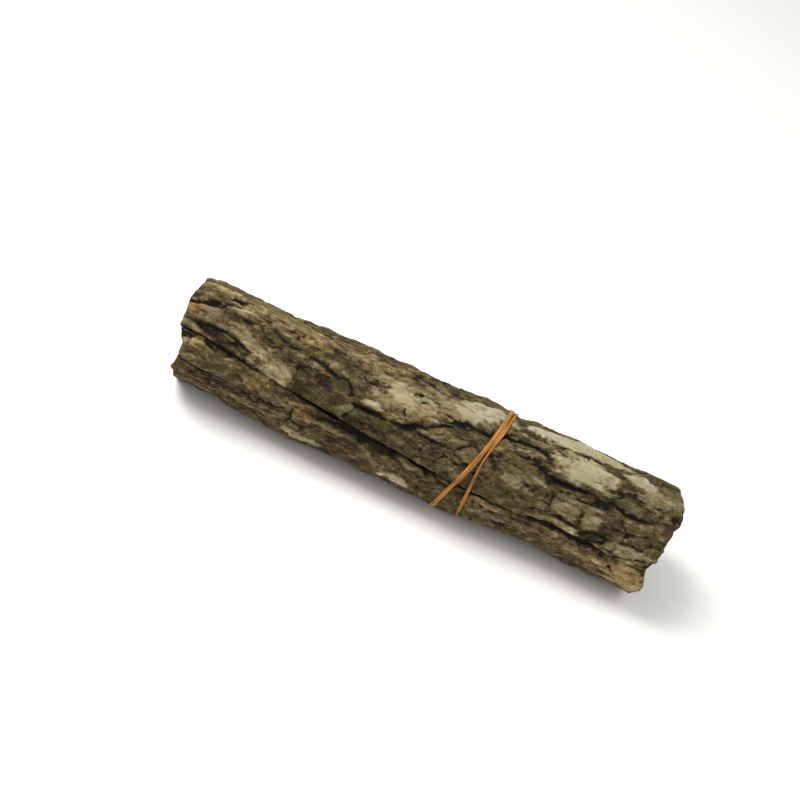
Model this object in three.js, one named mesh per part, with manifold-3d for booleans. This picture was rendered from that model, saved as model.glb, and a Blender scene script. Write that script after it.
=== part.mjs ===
// A short length of rough bark, slit once along its side, peeled from a branch in one sheet and
// curled back into a hollow tube. Two turns of raffia, knotted behind, hold the slit closed.
//
// Millimetres. +X runs along the tube, +Z is up and the front is -Y. The origin is on the ground
// under the middle. Angles go round the tube from the front (0) over the top (90) to the back (180).
import * as THREE from "three";
import { mergeVertices } from "three/addons/utils/BufferGeometryUtils.js";
import Module from "manifold-3d";

// Driving dimensions
const CREST_RADIUS = 31.5; // over the ridges, before they rise and fall along the tube
const BORE_RADIUS = 22.4; // the smooth inside
const LEAST_WALL = 3.2; // bark left under the deepest furrow
const AXIS_HEIGHT = 30.7; // the tube's axis above the ground
const AXIS_BACK = 0.22; // the axis lies this far behind the middle of the whole part
const MIDDLE_ALONG = 149.65; // the middle of the part, as a measure along the tube
const SLIT_LEAN = 5; // degrees that the slit turns on its way in, so that it can't be seen through

// How finely the bark is faceted. The outside counts are four times the inside ones.
const OUTSIDE_AROUND = 80;
const OUTSIDE_ALONG = 68;
const INSIDE_AROUND = OUTSIDE_AROUND / 4;
const INSIDE_ALONG = OUTSIDE_ALONG / 4;

// The near side was measured from a point in front: along is millimetres from the left tip, across
// is millimetres above the tube's centre line, both as seen from there.
const EYE = { elevation: 38, distance: 850, along: 129.6, across: 12.2 };

// The slit and the furrows of the near side, as [along, across] points
const SLIT = [
  [2, -1], [16, -0.6], [32, -3.8], [57, -7], [78, -10], [100, -12.8], [118, -14.8], [130, -15.9],
  [145, -16.7], [155, -18.4], [164, -17.6], [182, -18.9], [212, -19.4], [232, -17.6], [252, -19.2],
  [270, -19], [296, -18.8],
];
const SLIT_WANDER = { reach: 0.6, length: 9 }; // either side of the points above, in between them
const SLIT_GAPS = [
  [-149, 0.7], [-116, 0.6], [-104, 0.3], [-76, 0.3], [-62, 1.2], [-10, 1.2], [8, 0.5], [30, 0.3],
];
// The groove that the slit lies in: [x, depth] and [x, half width]. It is wider below the slit.
const SLIT_DEPTHS = [
  [-149, 3.6], [-120, 3], [-102, 1.3], [-80, 1.2], [-66, 4.6], [-12, 4.8], [8, 3], [30, 1.8], [78, 1.7],
  [92, 3.8], [108, 3.8], [122, 1.6],
];
const SLIT_WIDTHS = [
  [-149, 2.4], [-120, 2.2], [-102, 1.2], [-66, 3], [-12, 3.2], [8, 1.8], [30, 1.2], [78, 1.2], [92, 2.2],
  [108, 2.2], [122, 1.2],
];
const SLIT_SIDES = { below: 1.5, above: 0.8 }; // the groove's width there, in shares of the above
// A furrow with a slope rises gently over that many millimetres on its lower side, and stays steep
// on its upper side, under the edge of a thick plate.
const FURROWS = [
  { depth: 2.1, width: 1.6, path: [[-2, 15.5], [8, 17.5], [14, 20.5], [24, 25.5], [29, 24.5]] },
  {
    depth: 1.8,
    width: 1.6,
    path: [[19, 21.5], [30, 23.3], [38, 23], [45, 21.5], [51, 18.5], [58, 16], [76, 14], [84, 13.2],
      [90, 11], [99, 10.3]],
  },
  {
    depth: 2.2,
    width: 1.1,
    path: [[99, 10.3], [102, 7.5], [105, 2.5], [108, 0], [108, -4.5], [105, -9], [101, -11.5]],
  },
  {
    depth: 3.2,
    width: 2.1,
    slope: 4.5,
    path: [[107, 0], [126, -1.2], [138, -0.5], [146, 3], [153, 6], [159, 9.5], [163, 13.5], [168, 15.6],
      [176, 15.8], [184, 15.5], [191, 19.5], [199, 19.8], [207, 21], [214, 20.5], [220, 18]],
  },
  {
    depth: 3.4,
    width: 2.7,
    slope: 5,
    path: [[212, 14], [217, 10.5], [222, 8.8], [230, 7.5], [240, 8.3], [252, 9.6], [262, 9], [270, 6.5],
      [280, 6], [288, 9], [298, 11.8]],
  },
  {
    depth: 1.3,
    width: 0.7,
    path: [[212, 27.8], [222, 26.5], [231, 25.5], [241, 25.5], [250, 24.6], [256, 25.3], [261, 27.5],
      [265, 29.3]],
  },
  { depth: 1.4, width: 1, path: [[146, 0], [158, -1.3], [168, -1.8], [171, 1], [176, 5.5]] },
  { depth: 1.4, width: 1, path: [[169, -2.5], [177, -5.5], [184, -8.5]] },
  { depth: 0.8, width: 0.8, path: [[71, 7], [70.6, 3.5], [70.3, -2], [69, -7.5]] },
  { depth: 0.5, width: 1.6, path: [[28, -18.5], [40, -19], [49, -21.5], [58, -20]] },
  { depth: 1.3, width: 1, path: [[77, -24], [77, -18], [80, -15]] },
  { depth: 1.2, width: 1.1, path: [[84, -15.5], [91, -18], [98, -17], [108, -18.5]] },
  { depth: 1.4, width: 1.3, path: [[122, -20], [135, -20.5], [146, -22.5]] },
  { depth: 1.5, width: 1.1, path: [[229, -9], [229.5, -2], [231, 0.6]] },
  { depth: 1.5, width: 1.1, path: [[243, 0], [247, -1.5], [248.5, -5.5], [249, -11]] },
  { depth: 1.4, width: 1.6, slope: 2.5, path: [[248, -11.5], [240, -11.6], [231, -10.5], [222, -12]] },
  { depth: 1, width: 1, path: [[262, -8], [276, -9.5], [286, -9], [298, -8.5]] },
  { depth: 1.3, width: 1, path: [[250, -21], [258, -23.5], [266, -25], [274, -23.5]] },
  { depth: 1.5, width: 1.2, path: [[40, 29], [60, 30], [72, 28.5], [90, 29.5]] },
];

// Plates that stand up between the furrows, and pits that sink into them: [along, across, half
// length, half width, degrees turned, millimetres raised, squareness]. Squareness 2 is an oval.
const PLATES = [
  [61, -1.8, 9.6, 6.6, -2, 1.1, 5], [39, 7.5, 15, 3.4, -22, 0.7, 2], [8, 12.5, 8, 5, 0, 0.9, 2],
  [20, -11, 15, 8.5, -4, 1.9, 2], [54, -12.5, 9, 6, -5, 0.9, 2], [84, -20.5, 6, 3.8, 0, 0.9, 2],
  [148, -18.8, 9, 2.6, -5, 0.8, 2], [89, 0, 17, 8.5, -3, 0.7, 2], [126, 13, 12, 8, -5, 0.9, 2],
  [113, 5, 8, 4, 12, 0.8, 2], [147, 11, 11, 6, 25, 0.7, 2], [172, 24.5, 18, 6.5, 20, 1.5, 2],
  [231, 29, 28, 3, 0, 1.1, 2], [243, 18, 20, 7, 0, 1.1, 2], [272, 24.5, 9, 5, 0, 0.9, 2],
  [240, -6, 8, 4.4, -12, 1, 2], [255, -5.5, 5.5, 3.6, -8, 0.8, 2], [243, -14, 7, 2.4, -4, 0.8, 2],
  [206, -4, 8, 2.6, -6, 0.6, 2], [159, 3.6, 11, 3.8, 5, 0.6, 2], [282, -13.5, 13, 4.2, 0, 0.8, 2],
  [284, 1, 11, 5.5, 0, 0.6, 2], [286, 21, 13, 8, 0, 0.8, 2], [277, -26.5, 20, 6.5, -3, 1.6, 3],
  [14, 27.5, 13, 3.6, 0, 1, 2], [33, 20.3, 12, 2.6, 0, 0.7, 2], [56, 25, 10, 4.6, 0, 0.8, 2],
  [78, 23.5, 9, 5, 0, 0.9, 2], [136, -8, 29, 5.6, -3, 0.9, 3], [140, 10, 34, 9, 14, 0.9, 3],
  [210, -5, 16, 9, 0, 0.8, 3],
];
const PITS = [
  [23, 4, 14, 4.2, -5, 2.4, 2], [14, 19.8, 7, 2.2, 0, 1, 2], [26, 26.3, 5, 1.8, 0, 0.8, 2],
  [259, -14, 9, 4.2, 10, 2.6, 2], [241, 5.5, 22, 4, -1, 1.6, 2], [114, 16.5, 8, 3, 0, 0.9, 2],
  [197, 21, 5, 2, 0, 1, 2], [205, 13, 6, 1.8, 0, 1.1, 2], [124, -18, 38, 3, -2, 1.1, 3],
];

// The back and underside, which the near-side lists don't reach: long plates by rule, with furrows
// between them. Degrees are where they begin over the top and end under the front.
const BACK = {
  from: 132,
  to: 302,
  fade: 14,
  length: 46,
  width: 13.5,
  step: 1.3, // how much the plates differ in height
  depth: 3.6, // of the furrows, which noise makes shallower and narrower in places
  halfWidth: 2,
  strength: [26, 12, 24], // noise, as [length, width, draw]
  spread: [15, 9, 25],
};

// Nothing on the bark runs straight: its places are shifted by noise, [reach, length, width, draw]
const SHIFT = { along: [4, 16, 7, 31], round: [1.8, 20, 8, 33] };
const BACK_SHIFT = { along: [9, 30, 14, 21], round: [3.2, 24, 12, 22] };
const FURROW_SHARE = [0.5, 0.7]; // how much of the shift the furrows take, along and round
const UNEVEN = [0.4, 10, 8, 52]; // how much the furrows' depth changes, as [share, length, width, draw]

// Ridges and lumps of the whole outside: [height, length, width, draw]
const RIDGES = [[0.8, 45, 11, 1], [0.55, 20, 5, 2]];
const LUMPS = [[1.05, 26, 9, 41], [0.6, 9, 6, 50]];
const LUMPS_SINK = 0.6; // millimetres by which they lie lower than the crests
const PLATE_RIM = [0.7, 1.25]; // where a plate's edge starts and ends to fall, in shares of its size

// The tube's outline as seen: radius over the crests along its upper and lower edge, [x, radius]
const UPPER_EDGE = [
  [-149, 30.6], [-130, 31.6], [-60, 31.4], [0, 32.9], [28, 32.2], [45, 31.2], [60, 31.8], [90, 33],
  [120, 32.2], [146, 32],
];
const LOWER_EDGE = [
  [-145, 28], [-130, 27.7], [-115, 28.2], [-100, 29.2], [-86, 30.6], [-68, 33.2], [-55, 33.4],
  [-40, 32.8], [-10, 33.6], [10, 34.6], [22, 35], [50, 32.4], [80, 31], [100, 32.8], [122, 32.2],
  [137, 34.6], [146, 34],
];
const LOWER_FADE = [14, 38]; // degrees from straight down between which the lower edge takes effect

// The sawn ends as seen, [across, along]
const LEFT_END = [
  [-31.5, 8.6], [-27, 7.4], [-25, 4.6], [-23, 5.4], [-18, 6.2], [-8, 5.9], [-5, 3], [0, 0.2], [5, 0.3],
  [12, 0.2], [17, -0.9], [22, 0.6], [27, 2.6], [31.5, 4.2],
];
const RIGHT_END = [
  [-31.5, 290], [-29, 293.6], [-25, 295.8], [-21, 294.6], [-18, 292.4], [-15, 294.8], [-10, 297.6],
  [-8.5, 297.4], [-4, 300.4], [0, 300], [6, 299.4], [10, 298], [10.9, 295.4], [12.1, 295.2],
  [12.7, 301.8], [18, 301.2], [23, 299.6], [27, 296], [31.5, 292.6],
];
// The right end is broken at a slant here: [across, how far the outside is broken back]. The inside
// stands out by a share of that.
const BREAK = [[-9, 0], [-6, 0.9], [-1.4, 1.9], [3.2, 3], [7.9, 3.6], [10.6, 3.4], [11.2, 0]];
const BREAK_INSIDE = 0.5;
const END_WANDER = 1.6; // how far the ends stray behind, where they weren't measured

// Worn spots that the tube rests on, and the belly that clears the ground between them:
// [x, degrees from straight down, half length, half degrees]
const FEET = [[-102, 0, 26, 13], [104, -13, 24, 9], [110, 13, 22, 9]];
const FOOT_RIM = [0.4, 1.3]; // where a foot starts and ends to blend into the bark, in shares of its size
const FOOT_SINK = 0.8; // how far a foot's crest would reach below the ground before it is worn flat
// The belly's lift ends between the fade's two distances from the middle
const BELLY = { lift: 5.3, halfDegrees: 30, fade: [60, 95] };

// Raffia: each turn's [along, across] points down the front, and its width
const RAFFIA_THICKNESS = 0.7;
const RAFFIA_CLEARANCE = 0.35;
const TURNS = [
  {
    width: 2.7,
    front: [[190, 31.5], [188, 20], [185.3, 10], [183, 2], [181, -5], [176.8, -15], [172.1, -25],
      [168.2, -31.5]],
  },
  {
    width: 1.5,
    front: [[193.2, 31.5], [190.4, 20], [187.6, 10], [186, 2], [185.7, -5], [185.2, -15], [184.8, -25],
      [184.5, -31.5]],
  },
];
const TURN_BEND = 0.22; // radians over which a turn's route is evened out to each side
const KNOT = { x: 32, angle: 196, apart: 1.3, radii: [1.9, 3.1, 2.6] }; // outwards, along, round
const TAILS = [
  { to: [38.5, 236], width: 2.3 },
  { to: [24, 229], width: 1.8 },
];
const TURN_STEPS = 60;
const TAIL_STEPS = 9;
const RIBBON_SIDES = 6;

const BARK_COLOUR = "#6f6047";
const RAFFIA_COLOUR = "#b97a3c";

const degrees = THREE.MathUtils.degToRad;
const { clamp, lerp, smoothstep } = THREE.MathUtils;
const GIRTH = 2 * Math.PI * CREST_RADIUS;

// Straight-line interpolation through [position, value] pairs
function between(pairs, at) {
  const next = pairs.findIndex(([position]) => position > at);
  if (next === 0) return pairs[0][1];
  if (next < 0) return pairs.at(-1)[1];
  const [from, low] = pairs[next - 1];
  const [to, high] = pairs[next];
  return lerp(low, high, (at - from) / (to - from));
}

// A repeatable number from 0 to 1 for each whole-number place
function hash(i, j, k, seed) {
  let h = Math.imul(i, 0x27d4eb2d) ^ Math.imul(j, 0x165667b1);
  h ^= Math.imul(k, 0x1b873593) ^ Math.imul(seed, 0x5bd1e995);
  h ^= h >>> 15;
  h = Math.imul(h, 0x85ebca6b);
  h ^= h >>> 13;
  h = Math.imul(h, 0xc2b2ae35);
  h ^= h >>> 16;
  return (h >>> 0) / 4294967296;
}

// Smooth noise from -1 to 1
function noise(x, y, z, seed) {
  const [i, j, k] = [x, y, z].map(Math.floor);
  const [u, v, w] = [x - i, y - j, z - k].map((t) => t * t * t * (t * (t * 6 - 15) + 10));
  const corner = (di, dj, dk) => hash(i + di, j + dj, k + dk, seed);
  const edge = (dj, dk) => lerp(corner(0, dj, dk), corner(1, dj, dk), u);
  return 2 * lerp(lerp(edge(0, 0), edge(1, 0), v), lerp(edge(0, 1), edge(1, 1), v), w) - 1;
}

// Noise on the bark: the same at the same place round and along the tube
function barkNoise(x, angle, alongScale, aroundScale, seed) {
  const reach = CREST_RADIUS / aroundScale;
  return noise(x / alongScale + 50, reach * Math.cos(angle) + 50, reach * Math.sin(angle) + 50, seed);
}

// Noise on the unrolled sheet, which may differ on the slit's two sides
function sheetNoise(x, around, alongScale, aroundScale, seed) {
  return noise(x / alongScale + 50, around / aroundScale + 50, 0.5, seed);
}

// A place on the sheet, moved by noise both ways
function moved(x, around, { along, round }) {
  const wave = ([reach, ...scales]) => reach * sheetNoise(x, around, ...scales);
  return [x + wave(along), around + wave(round)];
}

// Irregular plates: each place belongs to the nearest of one random point per grid square. Gives the
// distance to the plate's rim and the plate's own number from 0 to 1.
function plateAt(x, around, length, width, seed) {
  const [u, v] = [x / length + 50, around / width + 50];
  const [i, j] = [Math.floor(u), Math.floor(v)];
  const points = [];
  for (let di = -1; di <= 1; di++)
    for (let dj = -1; dj <= 1; dj++) {
      const at = [i + di + hash(i + di, j + dj, 1, seed), j + dj + hash(i + di, j + dj, 2, seed)];
      const away = (u - at[0]) ** 2 + (v - at[1]) ** 2;
      points.push({ at, away, number: hash(i + di, j + dj, 3, seed) });
    }
  points.sort((a, b) => a.away - b.away);
  const [own, ...others] = points;
  const rims = others.map(({ at, away }) => {
    const slope = Math.hypot((at[0] - own.at[0]) / length, (at[1] - own.at[1]) / width);
    return (away - own.away) / 2 / slope;
  });
  return [Math.min(...rims), own.number];
}

// A measured point as [x, distance round the tube]
function onTube([along, across]) {
  const side = Math.asin(clamp(across / CREST_RADIUS, -1, 1));
  const nearer = 1 - (CREST_RADIUS * Math.cos(side)) / EYE.distance;
  const level = across + (EYE.across - across) * (1 - nearer) * Math.cos(side);
  const angle = degrees(EYE.elevation) + Math.asin(clamp(level / CREST_RADIUS, -1, 1));
  return [EYE.along + (along - EYE.along) * nearer - MIDDLE_ALONG, angle * CREST_RADIUS];
}

// The same place round the tube, counted so that it lies nearest to another
const nearTurn = (around, other) => around - GIRTH * Math.round((around - other) / GIRTH);

// Distance from a place to a broken line, and how far the place lies above the line's nearest point
function toPath(x, around, path) {
  const y = nearTurn(around, path[path.length >> 1][1]);
  const reaches = path.slice(1).map(([bx, by], i) => {
    const [ax, ay] = path[i];
    const length2 = (bx - ax) ** 2 + (by - ay) ** 2;
    const t = clamp(((x - ax) * (bx - ax) + (y - ay) * (by - ay)) / length2, 0, 1);
    const above = y - lerp(ay, by, t);
    return { away: Math.hypot(x - lerp(ax, bx, t), above), above };
  });
  return reaches.reduce((best, reach) => (reach.away < best.away ? reach : best));
}

const groove = (distance, width) => Math.exp(-((distance / width) ** 1.5));

const slitPath = SLIT.map(onTube);
function slitAngle(x) {
  const wander = SLIT_WANDER.reach * noise(x / SLIT_WANDER.length + 50, 0.5, 0.5, 64);
  return (between(slitPath, x) + wander) / CREST_RADIUS;
}

// A measured point on the sheet, moved as the bark's furrows are, so that it stays where it was seen
function onSheet(point) {
  const [x, around] = onTube(point);
  const start = slitAngle(x) * CREST_RADIUS;
  const fromStart = start + THREE.MathUtils.euclideanModulo(around - start, GIRTH);
  const [movedX, movedAround] = moved(x, fromStart, SHIFT);
  return [x + FURROW_SHARE[0] * (movedX - x), around + FURROW_SHARE[1] * (movedAround - fromStart)];
}
const furrows = FURROWS.map((f) => ({ ...f, path: f.path.map(onSheet) }));
const shapes = (list) =>
  list.map(([along, across, length, width, turned, rise, square]) => {
    const [x, around] = onTube([along, across]);
    return { x, around, length, width, turned: degrees(turned), rise, square };
  });
const plates = shapes(PLATES);
const pits = shapes(PITS);

// 1 inside a plate or pit, falling to 0 over its rim
function cover(x, around, shape) {
  const dx = x - shape.x;
  const dy = nearTurn(around, shape.around) - shape.around;
  const along = dx * Math.cos(shape.turned) + dy * Math.sin(shape.turned);
  const across = dy * Math.cos(shape.turned) - dx * Math.sin(shape.turned);
  const [u, v] = [Math.abs(along / shape.length), Math.abs(across / shape.width)];
  const reach = (u ** shape.square + v ** shape.square) ** (1 / shape.square);
  return 1 - smoothstep(reach, ...PLATE_RIM);
}

// Depth of the back's furrows and height of its plates at a place
function backRelief(x, around, angle) {
  const turned = THREE.MathUtils.euclideanModulo(THREE.MathUtils.radToDeg(angle), 360);
  const begun = smoothstep(turned, BACK.from - BACK.fade, BACK.from + BACK.fade);
  const share = begun * (1 - smoothstep(turned, BACK.to - BACK.fade, BACK.to + BACK.fade));
  if (share === 0) return [0, 0];
  const [rim, number] = plateAt(...moved(x, around, BACK_SHIFT), BACK.length, BACK.width, 23);
  const strength = smoothstep(sheetNoise(x, around, ...BACK.strength), -0.75, 0.25);
  const width = BACK.halfWidth * (1 + 0.4 * sheetNoise(x, around, ...BACK.spread));
  const depth = BACK.depth * lerp(0.25, 1, strength) * groove(rim, width);
  return [depth * share, BACK.step * (number - 0.5) * share];
}

// Depth of the slit's groove or the deepest measured furrow at a place
function furrowDepth(x, around) {
  const slit = slitAngle(x) * CREST_RADIUS;
  const fromSlit = nearTurn(around, slit) - slit;
  const halfWidth = between(SLIT_WIDTHS, x) * (fromSlit < 0 ? SLIT_SIDES.below : SLIT_SIDES.above);
  let cut = between(SLIT_DEPTHS, x) * groove(Math.abs(fromSlit), halfWidth);
  for (const { depth, width, slope, path } of furrows) {
    const { away, above } = toPath(x, around, path);
    cut = Math.max(cut, depth * groove(away, width));
    if (slope && above < 0) cut = Math.max(cut, 0.5 * depth * Math.exp(-away / slope));
  }
  return cut;
}

// The smooth inside, slightly out of round
const innerRadius = (x, angle) => BORE_RADIUS + 0.7 * barkNoise(x, angle, 90, 26, 5);

// Degrees from straight down, positive towards the front
function fromBelow(angle) {
  const straightDown = (-Math.PI / 2) * CREST_RADIUS;
  return THREE.MathUtils.radToDeg(nearTurn(angle * CREST_RADIUS, straightDown) / CREST_RADIUS) + 90;
}

function outerRadius(x, anyAngle) {
  const start = slitAngle(x);
  const angle = start + THREE.MathUtils.euclideanModulo(anyAngle - start, 2 * Math.PI);
  const around = angle * CREST_RADIUS;
  const below = fromBelow(angle);
  const facing = angle - degrees(EYE.elevation);
  const upper = Math.max(0, Math.sin(facing)) ** 2;
  const lower = Math.max(0, -Math.sin(facing)) ** 2 * smoothstep(below, ...LOWER_FADE);
  let r = CREST_RADIUS - LUMPS_SINK;
  r += (between(UPPER_EDGE, x) - CREST_RADIUS) * upper;
  r += (between(LOWER_EDGE, x) - CREST_RADIUS) * lower;

  const shifted = moved(x, around, SHIFT);
  for (const [height, ...ridge] of RIDGES) r += height * barkNoise(x, angle, ...ridge);
  for (const [height, ...lump] of LUMPS) r += height * sheetNoise(...shifted, ...lump);
  for (const plate of plates) r += plate.rise * cover(x, around, plate);
  for (const pit of pits) r -= pit.rise * cover(x, around, pit);

  const near = [x, around].map((at, i) => lerp(at, shifted[i], FURROW_SHARE[i]));
  const [backCut, backPlate] = backRelief(...near, angle);
  const [change, ...scales] = UNEVEN;
  const uneven = 0.8 + change * sheetNoise(x, around, ...scales);
  r += backPlate - Math.max(backCut, furrowDepth(...near)) * uneven;

  // The underside is hollowed a little in the middle, and stands on worn spots near the ends
  const hollowed = 1 - smoothstep(Math.abs(x), ...BELLY.fade);
  r -= BELLY.lift * hollowed * Math.exp(-((below / BELLY.halfDegrees) ** 2));
  for (const [footX, footDegrees, halfLength, halfDegrees] of FEET) {
    const off = Math.hypot((x - footX) / halfLength, (below - footDegrees) / halfDegrees);
    const ground = (AXIS_HEIGHT + FOOT_SINK) / Math.cos(degrees(clamp(below, -80, 80)));
    r = lerp(r, Math.max(r, ground), 1 - smoothstep(off, ...FOOT_RIM));
  }
  return Math.max(r, innerRadius(x, angle) + LEAST_WALL);
}

// Where an end is cut, seen in front and carried round the back with a little wander
function endAt(profile, angle) {
  const turned = angle - degrees(EYE.elevation);
  const facing = Math.atan2(Math.sin(turned), Math.cos(turned));
  if (Math.abs(facing) <= Math.PI / 2) {
    const across = CREST_RADIUS * Math.sin(facing);
    return onTube([between(profile, across), across])[0];
  }
  const share = (1 + Math.sin(facing)) / 2;
  const wander = END_WANDER * Math.abs(Math.cos(facing)) * barkNoise(0, angle, 1, 7, 6);
  return lerp(profile[0][1], profile.at(-1)[1], share) - MIDDLE_ALONG + wander;
}

// How far the right end's outside is broken back at an angle
function brokenBack(angle) {
  const facing = angle - degrees(EYE.elevation);
  return Math.cos(facing) > 0 ? between(BREAK, CREST_RADIUS * Math.sin(facing)) : 0;
}

// A point at a radius and angle round the axis
function place(x, angle, radius) {
  return new THREE.Vector3(x, AXIS_BACK - radius * Math.cos(angle), AXIS_HEIGHT + radius * Math.sin(angle));
}

// A point on a face of the sheet, given its shares of the way along and round from the slit
function sheetPoint(shareAlong, shareRound, { radiusAt, lean, standsOut }) {
  let x = lerp(-MIDDLE_ALONG, MIDDLE_ALONG, shareAlong);
  let angle = 0;
  for (let round = 0; round < 3; round++) {
    const edge = between(SLIT_GAPS, x) / 2 / BORE_RADIUS;
    angle = slitAngle(x) + degrees(lean) + lerp(edge, 2 * Math.PI - edge, shareRound);
    const rightEnd = endAt(RIGHT_END, angle) + standsOut * brokenBack(angle);
    x = lerp(endAt(LEFT_END, angle), rightEnd, shareAlong);
  }
  const point = place(x, angle, radiusAt(x, angle));
  point.z = Math.max(0, point.z);
  return point;
}

// Rows of points over one face of the sheet, from the slit's upper edge round to its lower edge
function sheetFace(alongCount, aroundCount, face) {
  const row = (i) =>
    Array.from({ length: aroundCount + 1 }, (_, j) => sheetPoint(i / alongCount, j / aroundCount, face));
  return Array.from({ length: alongCount + 1 }, (_, i) => row(i));
}

// Triangles over a grid of rows
function gridFaces(rows, facingOut) {
  const faces = [];
  for (let i = 0; i + 1 < rows.length; i++)
    for (let j = 0; j + 1 < rows[i].length; j++) {
      const [a, b, c, d] = [rows[i][j], rows[i + 1][j], rows[i + 1][j + 1], rows[i][j + 1]];
      faces.push(...(facingOut ? [[a, b, c], [a, c, d]] : [[a, d, c], [a, c, b]]));
    }
  return faces;
}

// Triangles between a fine edge and a coarse one that run side by side
function stripFaces(fine, coarse, flipped) {
  const ratio = (fine.length - 1) / (coarse.length - 1);
  const half = ratio >> 1;
  const faces = [];
  for (let i = 0; i + 1 < coarse.length; i++) {
    const start = i * ratio;
    for (let k = 0; k < ratio; k++) {
      const nearest = coarse[k < half ? i : i + 1];
      faces.push([fine[start + k], fine[start + k + 1], nearest]);
    }
    faces.push([fine[start + half], coarse[i + 1], coarse[i]]);
  }
  return flipped ? faces.map(([a, b, c]) => [a, c, b]) : faces;
}

function geometryOf(faces) {
  const points = new THREE.BufferGeometry().setFromPoints(faces.flat());
  const merged = mergeVertices(points, 1e-4);
  merged.computeVertexNormals();
  return merged;
}

// The bark: one thick curled sheet, outside, inside, two sawn ends and the slit's two edges
function barkGeometry() {
  const outer = { radiusAt: outerRadius, lean: 0, standsOut: -1 };
  const inner = { radiusAt: innerRadius, lean: -SLIT_LEAN, standsOut: BREAK_INSIDE };
  const outside = sheetFace(OUTSIDE_ALONG, OUTSIDE_AROUND, outer);
  const inside = sheetFace(INSIDE_ALONG, INSIDE_AROUND, inner);
  const column = (rows, j) => rows.map((row) => row.at(j));
  return geometryOf([
    ...gridFaces(outside, true),
    ...gridFaces(inside, false),
    ...stripFaces(outside[0], inside[0], false),
    ...stripFaces(outside.at(-1), inside.at(-1), true),
    ...stripFaces(column(outside, 0), column(inside, 0), true),
    ...stripFaces(column(outside, -1), column(inside, -1), false),
  ]);
}

// The shape a tight string takes over a set of radii round the axis: their convex outline
function tightRadii(angles, radii) {
  const centre = new THREE.Vector2();
  const points = angles.map((angle, i) => new THREE.Vector2(radii[i]).rotateAround(centre, angle));
  const turn = (a, b, c) => (b.x - a.x) * (c.y - a.y) - (b.y - a.y) * (c.x - a.x);
  const chain = (list) =>
    list.reduce((kept, point) => {
      while (kept.length > 1 && turn(kept.at(-2), kept.at(-1), point) <= 0) kept.pop();
      return [...kept, point];
    }, []);
  const sorted = [...points].sort((a, b) => a.x - b.x || a.y - b.y);
  const outline = [...chain(sorted).slice(0, -1), ...chain(sorted.reverse()).slice(0, -1)];
  return angles.map((angle) => {
    const [c, s] = [Math.cos(angle), Math.sin(angle)];
    const reaches = outline.map((a, i) => {
      const b = outline[(i + 1) % outline.length];
      const [from, to] = [a.y * c - a.x * s, b.y * c - b.x * s];
      if (from > 0 || to <= 0) return 0;
      return lerp(a.x, b.x, from / (from - to)) * c + lerp(a.y, b.y, from / (from - to)) * s;
    });
    return Math.max(...reaches);
  });
}

// The highest bark under a strip, so that nothing laid over it touches
function barkUnder(x, angle) {
  const alongReach = 6;
  const aroundReach = 0.1;
  let highest = 0;
  for (let i = -2; i <= 2; i++)
    for (let j = -2; j <= 2; j++)
      highest = Math.max(highest, outerRadius(x + (i * alongReach) / 2, angle + (j * aroundReach) / 2));
  return highest;
}

// A flat strand through [x, angle, radius] points, closed at both ends
function strand(path, width, thickness = RAFFIA_THICKNESS) {
  const centres = path.map(([x, angle, radius]) => place(x, angle, radius));
  const rings = centres.map((centre, i) => {
    const ahead = new THREE.Vector3()
      .subVectors(centres[Math.min(i + 1, centres.length - 1)], centres[Math.max(i - 1, 0)])
      .normalize();
    const out = place(path[i][0], path[i][1], path[i][2] + 1).sub(centre);
    const side = new THREE.Vector3().crossVectors(ahead, out).normalize();
    out.crossVectors(side, ahead);
    return Array.from({ length: RIBBON_SIDES + 1 }, (_, k) => {
      const angle = (2 * Math.PI * (k % RIBBON_SIDES)) / RIBBON_SIDES;
      return centre
        .clone()
        .addScaledVector(side, (width / 2) * Math.cos(angle))
        .addScaledVector(out, (thickness / 2) * Math.sin(angle));
    });
  });
  const cap = (ring) => ring.slice(1, -2).map((point, k) => [ring[0], point, ring[k + 2]]);
  return geometryOf([
    ...gridFaces(rings, true),
    ...cap(rings[0]),
    ...cap(rings.at(-1)).map(([a, b, c]) => [a, c, b]),
  ]);
}

// One turn of the tie: down the front as measured, and straight from there to the knot behind
function turnPath({ front }, side) {
  const knotX = KNOT.x + side * KNOT.apart;
  const [last, first] = [degrees(KNOT.angle), degrees(KNOT.angle - 360)];
  const marks = front.map(onTube).map(([x, around]) => [around / CREST_RADIUS, x]);
  const route = [[last, knotX], ...marks, [first, knotX]].reverse();
  const bends = Array.from({ length: 9 }, (_, i) => (TURN_BEND * (i - 4)) / 4);
  const evened = (angle) => bends.map((bend) => between(route, clamp(angle + bend, first, last)));
  const angles = Array.from({ length: TURN_STEPS + 1 }, (_, i) => lerp(last, first, i / TURN_STEPS));
  const places = angles.map((angle) => evened(angle).reduce((sum, x) => sum + x / bends.length, 0));
  const radii = tightRadii(angles, angles.map((angle, i) => barkUnder(places[i], angle)));
  const lift = RAFFIA_CLEARANCE + RAFFIA_THICKNESS / 2;
  return angles.map((angle, i) => [places[i], angle, radii[i] + lift]);
}

// A loose end, lying on the bark below the knot
function tailPath({ to: [endX, endAngle] }, knotRadius) {
  return Array.from({ length: TAIL_STEPS + 1 }, (_, i) => {
    const t = i / TAIL_STEPS;
    const x = lerp(KNOT.x, endX, t);
    const angle = degrees(lerp(KNOT.angle, endAngle, t));
    const resting = barkUnder(x, angle) + RAFFIA_CLEARANCE + RAFFIA_THICKNESS / 2;
    return [x, angle, lerp(knotRadius, resting, smoothstep(t, 0, 0.35))];
  });
}

const wasm = await Module();
wasm.setup();

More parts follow.
